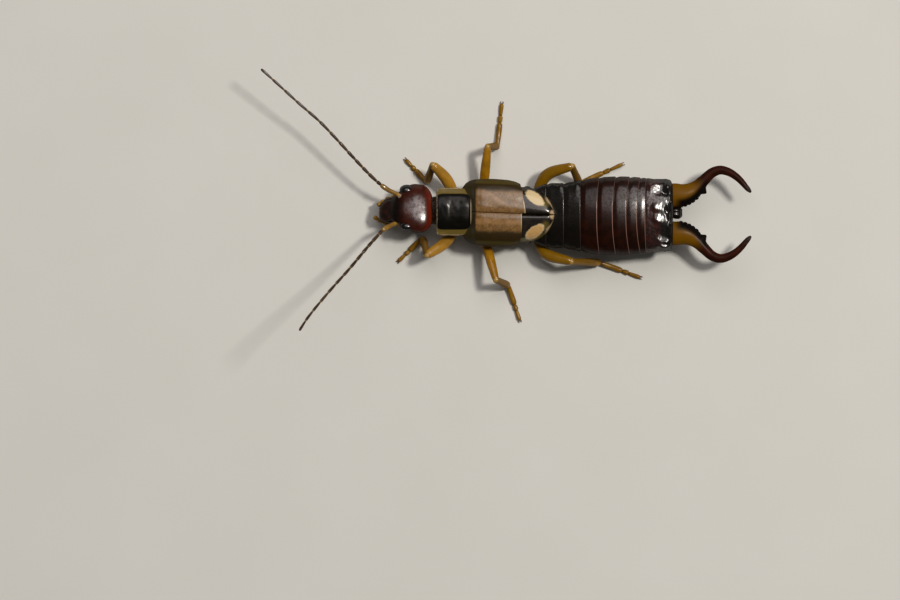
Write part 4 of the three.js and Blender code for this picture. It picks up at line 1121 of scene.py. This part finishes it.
def neck_shield():
    """Rings across the plate. Its back is a dome that droops by the square of the distance from the
    middle, across and along. A step of the sixth powers of both distances raises the disc, another
    step curls the borders up, and a third the rear edge."""
    front = 0.12 * (1 - np.cos(np.linspace(0.05, 1.57, 16))) - 0.03
    rear = 1.34 + 0.13 * np.sin(np.linspace(0.05, 1.57, 20))
    x = np.concatenate([front, np.linspace(0.1, 1.34, 90), rear])
    half = SHIELD_THICK / 2 * (0.35 + 0.65 * rounded_plan(x))
    sections = np.column_stack([smooth(SHIELD, x)[:, 0], half, -half])
    grid, _, up = oval(x, sections, np.full(len(x), SHIELD_LINE), SHIELD_SQUARENESS, 200)
    out = grid[..., 1] - SHIELD_LINE
    along = np.broadcast_to(grid[..., 0], out.shape)
    above = step(up, 0.0, 0.5)
    beside = np.abs(out) / DISC["half_width"]
    before = np.abs(along - DISC["x"]) / DISC["half_length"]
    off_disc = beside**6 + before**6
    disc = DISC["height"] * (1 - step(off_disc, 0.1, 1.3))
    curl = step(np.abs(out), 0.84, 1.02) * (1 - 0.75 * step(along, 0.1, 0.6))
    rear_curl = REAR_CURL * step(along, 1.36, 1.46)
    grid[..., 2] += SHIELD_LEVEL - SHIELD_DROOP * out**2 - SHIELD_SAG * (along - 0.7) ** 2
    grid[..., 2] += above * (disc + CURL * curl + rear_curl + mounds(grid, SHIELD_MOUNDS))
    sides = np.maximum(step(along, 1.43, 1.46), 0.5 * step(np.abs(out), 0.93, 1.0))
    front_edge = (0.45 + curl) * step(0.1 - along, 0.03, 0.1)
    marks = {
        "margin": step(off_disc, 0.75, 1.3),
        "polish": (0.14 + 0.76 * step(out, -0.3, 0.3)) * (1 - 0.7 * step(along, 1.15, 1.35)),
        "rim": np.maximum(sides, front_edge) * above,
    }
    return grid, marks


piece("shield_plate", [neck_shield()], SHIELD_HORN, ["neck_shield"])

# %% [markdown]
# ## The hidden fore body
# Three rings of the thorax carry the legs. From above they hide under the shield and the wing cases,
# and only a dark lobe shows beside the rear of each case.

# %% Fore body
BODY_END = 0.12
HIND_LOBE = {"x": 3.88, "out": 1.08, "z": 1.22, "radii": [0.2, 0.17, 0.34]}


def body_length(name, front, rear, node, lobes=()):
    """A length of the trunk that narrows at both ends by a bell curve, with any lobes beside it."""
    along = np.linspace(0, 1, 60)
    ends = BODY_END * (bell(along, 0, 0.08) + bell(along, 1, 0.08))
    grid, _, up = trunk_length(front, rear, 0, 0, ends, along)
    dark = np.maximum(step(up, 0.1, 0.5), step(grid[..., 0], 3.5, 3.8))
    piece(name, [(grid, {"dark": dark}), *lobes], BODY_HORN, [node])


body_length("fore_body", 0.1, 1.52, "prothorax")
lobes = []
for side in (RIGHT, LEFT):
    centre = [HIND_LOBE["x"], trunk_middle(HIND_LOBE["x"]) + side * HIND_LOBE["out"], HIND_LOBE["z"]]
    lobes.append((ball(centre, HIND_LOBE["radii"]), {"dark": np.ones((1, 1))}))
body_length("mid_body", 1.5, 4.1, "thorax", lobes)

# %% [markdown]
# ## Wing cases and folded wings
# The fore wings have turned into two short leather lids that meet down the middle. Below their rear
# edges the tips of the folded hind wings stick out, each with a cream spot. A lid is a thin shell, so
# its rings run over the outside and come back along the inside.

# %% Wing cases
CASES = [  # x, half width, height of the top, height of the lower edge
    [1.08, 1.0, 1.86, 1.5], [1.22, 1.2, 1.95, 1.46], [1.45, 1.35, 2.07, 1.43],
    [1.62, 1.4, 2.25, 1.42], [1.85, 1.43, 2.325, 1.4], [2.3, 1.46, 2.36, 1.4],
    [2.8, 1.45, 2.37, 1.4], [3.2, 1.42, 2.365, 1.42], [3.55, 1.36, 2.355, 1.46],
    [3.8, 1.28, 2.34, 1.5],
]
CASE_SECTION = [  # share of the run, how far out, how high, as shares of the half width and height
    [0.0, 0.0, 0.94], [0.05, 0.04, 0.97], [0.11, 0.09, 0.99], [0.17, 0.15, 1.0],
    [0.3, 0.33, 0.985], [0.46, 0.55, 0.94], [0.58, 0.71, 0.865], [0.68, 0.83, 0.77],
    [0.8, 0.94, 0.58], [0.9, 0.99, 0.32], [1.0, 1.0, 0.0],
]
CASE_THICKNESS = 0.07
CASE_REAR = {RIGHT: 3.8, LEFT: 3.64}
CASE_SLANT = 3.0  # from here on the rows are drawn forward, to the oblique rear edge
CASE_RIPPLE = 0.004
SUTURE = 0.012
SUTURE_SHIFT = 0.05  # the suture lies a little to the right of the middle line
# The fold exists only as colour: a painted highlight on one side of a slanting line on the right lid.
FOLD = {"start": (2.2, 0.95), "end": (3.3, 0.25)}  # a faint slanting fold on the right lid


def wing_lid(side):
    """A strip from the suture out and down to the side, once outside and once inside. Its rear edge
    runs forward by a step of the distance from the middle, more on the right lid than on the left, and
    two waves that cross give it a faint ripple."""
    x = np.linspace(CASES[0][0], CASES[-1][0], 110)
    half_width, top, bottom = (column[:, None] for column in smooth(CASES, x).T)
    out_share, up_share = smooth(CASE_SECTION, np.linspace(0, 1, 90)).T[:, None, :]

    def layer(drawn):
        """The strip's points, drawn in, with their distance from the suture and their place along."""
        out = SUTURE + out_share * (half_width - drawn - SUTURE)
        z = bottom + up_share * (top - drawn - bottom)
        share = np.clip(x[:, None] - CASE_SLANT, 0, None) / (CASE_REAR[RIGHT] - CASE_SLANT)
        if side == RIGHT:
            notch = 0.12 * step(out, 0, 1.0) + 0.1 * step(out, 0.9, 1.3)
        else:
            notch = 0.08 * step(out, 0.9, 1.3)
        place = x[:, None] + share * (CASE_REAR[side] - CASE_REAR[RIGHT] - notch)
        ripple = np.sin(place * 9 + out * 4) * np.sin(place * 4 - out * 11 + side)
        z = z + CASE_RIPPLE * ripple * step(place, 1.5, 1.8) * step(up_share, 0.5, 0.9)
        return np.stack([place, trunk_middle(place) + SUTURE_SHIFT + side * out, z], axis=-1), out, place

    outer, out, place = layer(0.0)
    inner, _, _ = layer(CASE_THICKNESS)
    grid = np.concatenate([outer, inner[:, ::-1]], axis=1)
    start, end = np.array(FOLD["start"]), np.array(FOLD["end"])
    run_x, run_out = (end - start) / np.linalg.norm(end - start)
    inside = (place - start[0]) * run_out - (out - start[1]) * run_x
    fold = step(inside, -0.12, 0.12) * 0.35 + 0.22 * bell(inside, 0.08, 0.12) * bell(place, 2.5, 0.8)
    # Painted light in the marks: light on the right lid brightens one side of the fold, band is wider on
    # the left lid as painted shade, and front darkens the lids under the shield's rear as a painted
    # shadow.
    marks = {
        "light": fold if side == RIGHT else bell(out, 0.38, 0.2) * 0.55,
        "polish": (1 - 0.8 * step(out, 0.75, 1.1)) * (1.0 if side == RIGHT else 0.72),
        "band": step(out, 0.72, 1.16) if side == RIGHT else step(out, 0.55, 1.05),
        "strip": step(out, 1.15, 1.3),
        "front": 1 - step(place, 1.6, 1.72),
        "rim": np.broadcast_to(step(x, 3.74, 3.79)[:, None], out.shape) * (1 - step(out, 0.3, 0.8)),
    }
    marks = {name: np.concatenate([value, value[:, ::-1]], axis=1) for name, value in marks.items()}
    return grid, marks


for name, side in SIDES.items():
    nodes = [f"wing_case_{name}"]
    piece(f"wing_lid_{name}", [wing_lid(side)], CASE_HORN, nodes, folded=True)

# %% [markdown]
# ## Folded wing tips
# The hind wings are folded many times under the lids, and what sticks out is a stiff scale with a
# rolled inner edge. Each is a closed mound whose sections follow rows along its length. The cream
# spot is an oval turned by some thirty-five degrees; the left one is in shade, so a warmer amber is
# painted over it as painted shade. A pale rim runs along the rear, partly the scale's own edge and
# partly a painted highlight at the rear end.

# %% Wing tips
WING_TIPS = [  # x, half width, height
    [3.2, 1.16, 2.2], [3.78, 1.17, 2.24], [4.1, 1.13, 2.27], [4.43, 1.0, 2.28], [4.65, 0.84, 2.27],
    [4.82, 0.64, 2.24], [4.93, 0.44, 2.2], [4.99, 0.27, 2.16], [5.03, 0.1, 2.1],
]
WING_BOTTOM = 1.5
TIP_SECTION = [  # share of the run, how far out, how high
    [0.0, 0.0, 0.84], [0.05, 0.035, 0.94], [0.11, 0.09, 0.99], [0.18, 0.17, 0.998], [0.34, 0.37, 0.965],
    [0.5, 0.56, 0.9], [0.64, 0.74, 0.79], [0.76, 0.88, 0.62], [0.86, 0.98, 0.32], [0.94, 1.0, 0.06],
    [0.97, 0.6, 0.0], [1.0, 0.0, 0.0],
]
SPOT = {"x": 4.2, "out": {RIGHT: 0.71, LEFT: 0.74}, "long": 0.5, "short": 0.245, "turn": 0.63}
OLIVE_SPOT = {"x": 4.66, "out": 0.46, "long": 0.22, "short": 0.25}


def wing_tip(side):
    """Rings that start at the suture, run over the mound and come back flat underneath. The spot's edge
    is a step of the distance from its centre, measured in its own half length and half width."""
    x = np.concatenate([np.linspace(3.2, 4.9, 90), 4.9 + 0.13 * np.sin(np.linspace(0.05, 1.57, 26))])
    half_width, top = (column[:, None] for column in smooth(WING_TIPS, x).T)
    run = np.concatenate([np.linspace(0, 0.94, 84), [0.955, 0.97, 0.985, 0.999]])
    out_share, up_share = smooth(TIP_SECTION, run).T[:, None, :]
    out = SUTURE + np.clip(out_share, 0, 1) * (half_width - SUTURE)
    z = WING_BOTTOM + np.clip(up_share, 0, 1) * (top - WING_BOTTOM)
    place = np.broadcast_to(x[:, None], out.shape)
    grid = np.stack([place, trunk_middle(place) + SUTURE_SHIFT * 0.4 + side * out, z], axis=-1)
    cos, sin = np.cos(SPOT["turn"]), np.sin(SPOT["turn"])
    run_x, run_out = place - SPOT["x"], out - SPOT["out"][side]
    long, short = run_x * cos - run_out * sin, run_x * sin + run_out * cos
    spot = np.hypot(long / SPOT["long"], short / SPOT["short"])
    along = (place - OLIVE_SPOT["x"]) / OLIVE_SPOT["long"]
    beside = (out - OLIVE_SPOT["out"]) / OLIVE_SPOT["short"]
    # edge and tip paint the pale rim: along the outer rear edge partly the scale's own pale edge, and at
    # the rear end by the suture a painted highlight.
    edge = step(out / half_width, 0.6, 0.84) * step(place, 4.5, 4.8)
    tip = step(place, 4.74, 4.98) * (1 - step(out, 0.08, 0.32))
    marks = {
        "cream": 1 - step(spot, 0.62, 1.24),
        "olive": bell(np.hypot(along, beside), 0, 1) * 0.7,
        "rim": np.maximum(edge * 0.85, tip),
    }
    # On the left scale the cream spot is turned amber as painted shade.
    if side == LEFT:
        marks["olive"] = np.maximum(marks["olive"], step(out / half_width, 0.8, 0.95))
        marks["amber"] = 0.62 * marks["cream"]
    return grid, marks


for name, side in SIDES.items():
    piece(f"wing_fold_{name}", [wing_tip(side)], WING_HORN, [f"wing_tip_{name}"])

# %% [markdown]
# ## Legs
# Six legs, each with a cone at the body, a small ring, a glossy thigh shaped like a club, a thin shin
# and a foot of three joints with two claws. Joint places in plan come from the photograph, and the
# heights are what lets all the feet rest on the floor.

# %% Joints of the legs
JOINTS = ("root", "hip", "thigh", "knee", "ankle", "toe")
JOINT_HEIGHTS = (0.92, 0.62, 1.02, 1.48, 0.25, 0.105)
LEGS = {  # x and sideways place of each joint; None is half way between hip and knee
    "front_right": ((0.9, 0.27), (0.8, 0.66), (0.4, 1.42), (-0.17, 2.03), (-0.44, 1.31), (-1.34, 2.27)),
    "front_left": (
        (0.9, -0.3), (0.82, -0.7), (0.33, -1.32), (-0.42, -1.86), (-0.62, -1.1), (-1.66, -2.1)),
    "middle_right": ((1.95, 0.2), (1.97, 0.78), None, (2.18, 2.8), (2.61, 2.86), (2.8, 4.69)),
    "middle_left": ((1.95, -0.3), (1.98, -0.88), None, (2.53, -2.91), (3.08, -3.16), (3.57, -4.64)),
    "hind_right": ((3.6, 0.2), (4.26, 0.74), (4.74, 1.6), (5.8, 1.97), (6.15, 1.26), (8.0, 2.08)),
    "hind_left": ((3.6, -0.46), (4.26, -1.0), (4.7, -1.78), (5.78, -2.13), (7.05, -2.17), (8.77, -2.8)),
}


def leg_points(places):
    """The six joints of a leg, each with its height."""
    places = list(places)
    hip, thigh, knee = JOINTS.index("hip"), JOINTS.index("thigh"), JOINTS.index("knee")
    if places[thigh] is None:
        places[thigh] = (np.array(places[hip]) + places[knee]) / 2
    return np.column_stack([np.array([tuple(place) for place in places]), JOINT_HEIGHTS])


print("knees stand", JOINT_HEIGHTS[JOINTS.index("knee")], "mm high")

# %% Legs
FOOT_HEIGHT = 0.14
THIGH_RADIUS = {"front": 0.25, "middle": 0.205, "hind": 0.25}
# How much painted highlight the front thighs get, and how much painted shade the hind thighs get.
THIGH_LIGHTING = {"front": (0.14, 0.0), "middle": (0.0, 0.0), "hind": (0.0, 0.8)}  # how pale, how deep
COXA = [[0, 0.9], [0.5, 1.0], [0.9, 0.8], [1, 0.7]]
TROCHANTER = [[0, 0.8], [0.5, 1.0], [1, 0.8]]
THIGH = [[0.0, 0.72], [0.12, 0.86], [0.35, 1.0], [0.6, 0.97], [0.85, 0.8], [1.0, 0.68]]
SHIN = [[0.0, 0.95], [0.1, 0.9], [0.4, 0.92], [0.85, 1.0], [1.0, 0.86]]
FOOT_SHARES = [0.0, 0.56, 0.72, 1.0]
FOOT_RADII = [0.118, 0.104, 0.085]
CLAW = [[0.0, 1.0], [0.5, 0.8], [1.0, 0.3]]
CLAW_LINE = np.array([  # how far on, how far to the side, how high
    [-0.06, 0.02, 0.1], [0.03, 0.045, 0.11], [0.08, 0.055, 0.07], [0.11, 0.045, 0.03],
])


def claw(toe, along, hand):
    """A hook that leaves the toe, spreads and turns down to the floor."""
    across = np.array([-along[1], along[0], 0]) * hand
    line = toe + along * CLAW_LINE[:, [0]] + across * CLAW_LINE[:, [1]]
    line[:, 2] = CLAW_LINE[:, 2]
    path = Path(line)
    return bead(path, 0, path.length, 0.026, CLAW, around=12, count=16, claw=1.0)


def leg(name, points):
    """A cone for the hip; a ring, a club and a rod for the thigh and the shin; three beads and two
    hooks for the foot. Each is carried along the line between its joints."""
    pair = name.split("_")[0]
    root, hip, thigh, knee, ankle, toe = points
    cone = Path([root, hip])
    coxa = bead(cone, -0.1, cone.length + 0.12, 0.27, COXA, count=32)
    piece(f"hip_{name}", [coxa], BODY_HORN, [f"leg_{name}_coxa"])
    upper, lower = Path([hip, thigh, knee]), Path([knee, ankle])
    ring = bead(upper, -0.1, 0.26, 0.2, TROCHANTER, count=20)
    club = bead(upper, 0.06, upper.length - 0.02, THIGH_RADIUS[pair], THIGH, 0.92, count=60)
    shin = bead(lower, -0.1, lower.length + 0.1, 0.165, SHIN, 0.9, count=44)
    # The thighs get painted light: paler on the front pair as a painted highlight, darker on the hind
    # pair as painted shade. The shin is painted darker near the knee as painted shade, with a pale
    # painted highlight right at the knee.
    pale, deep = np.reshape(THIGH_LIGHTING[pair], (2, 1, 1))
    ring[1].update({"pale": pale, "deep": deep})
    club[1].update({"pale": pale, "deep": deep})
    share = np.linspace(0, 1, 44)[:, None]
    shin[1].update({"shin": 1 - step(share, 0.55, 0.9), "pale": (1 - step(share, 0.1, 0.2)) * 0.5})
    nodes = [f"leg_{name}_femur", f"leg_{name}_tibia"]
    piece(f"thigh_shin_{name}", [ring, club, shin], LEG_HORN, nodes)
    along = (toe - ankle) * (1, 1, 0)
    along /= np.linalg.norm(along)
    low = ankle + (toe - ankle) * 0.3
    low[2] = FOOT_HEIGHT
    sole = Path([ankle, low, toe])
    foot = beads(sole, np.diff(np.array(FOOT_SHARES) * sole.length), FOOT_RADII)
    foot += [claw(toe, along, RIGHT), claw(toe, along, LEFT)]
    piece(f"foot_{name}", foot, FOOT_HORN, [f"leg_{name}_tarsus"])


for name, places in LEGS.items():
    leg(name, leg_points(places))
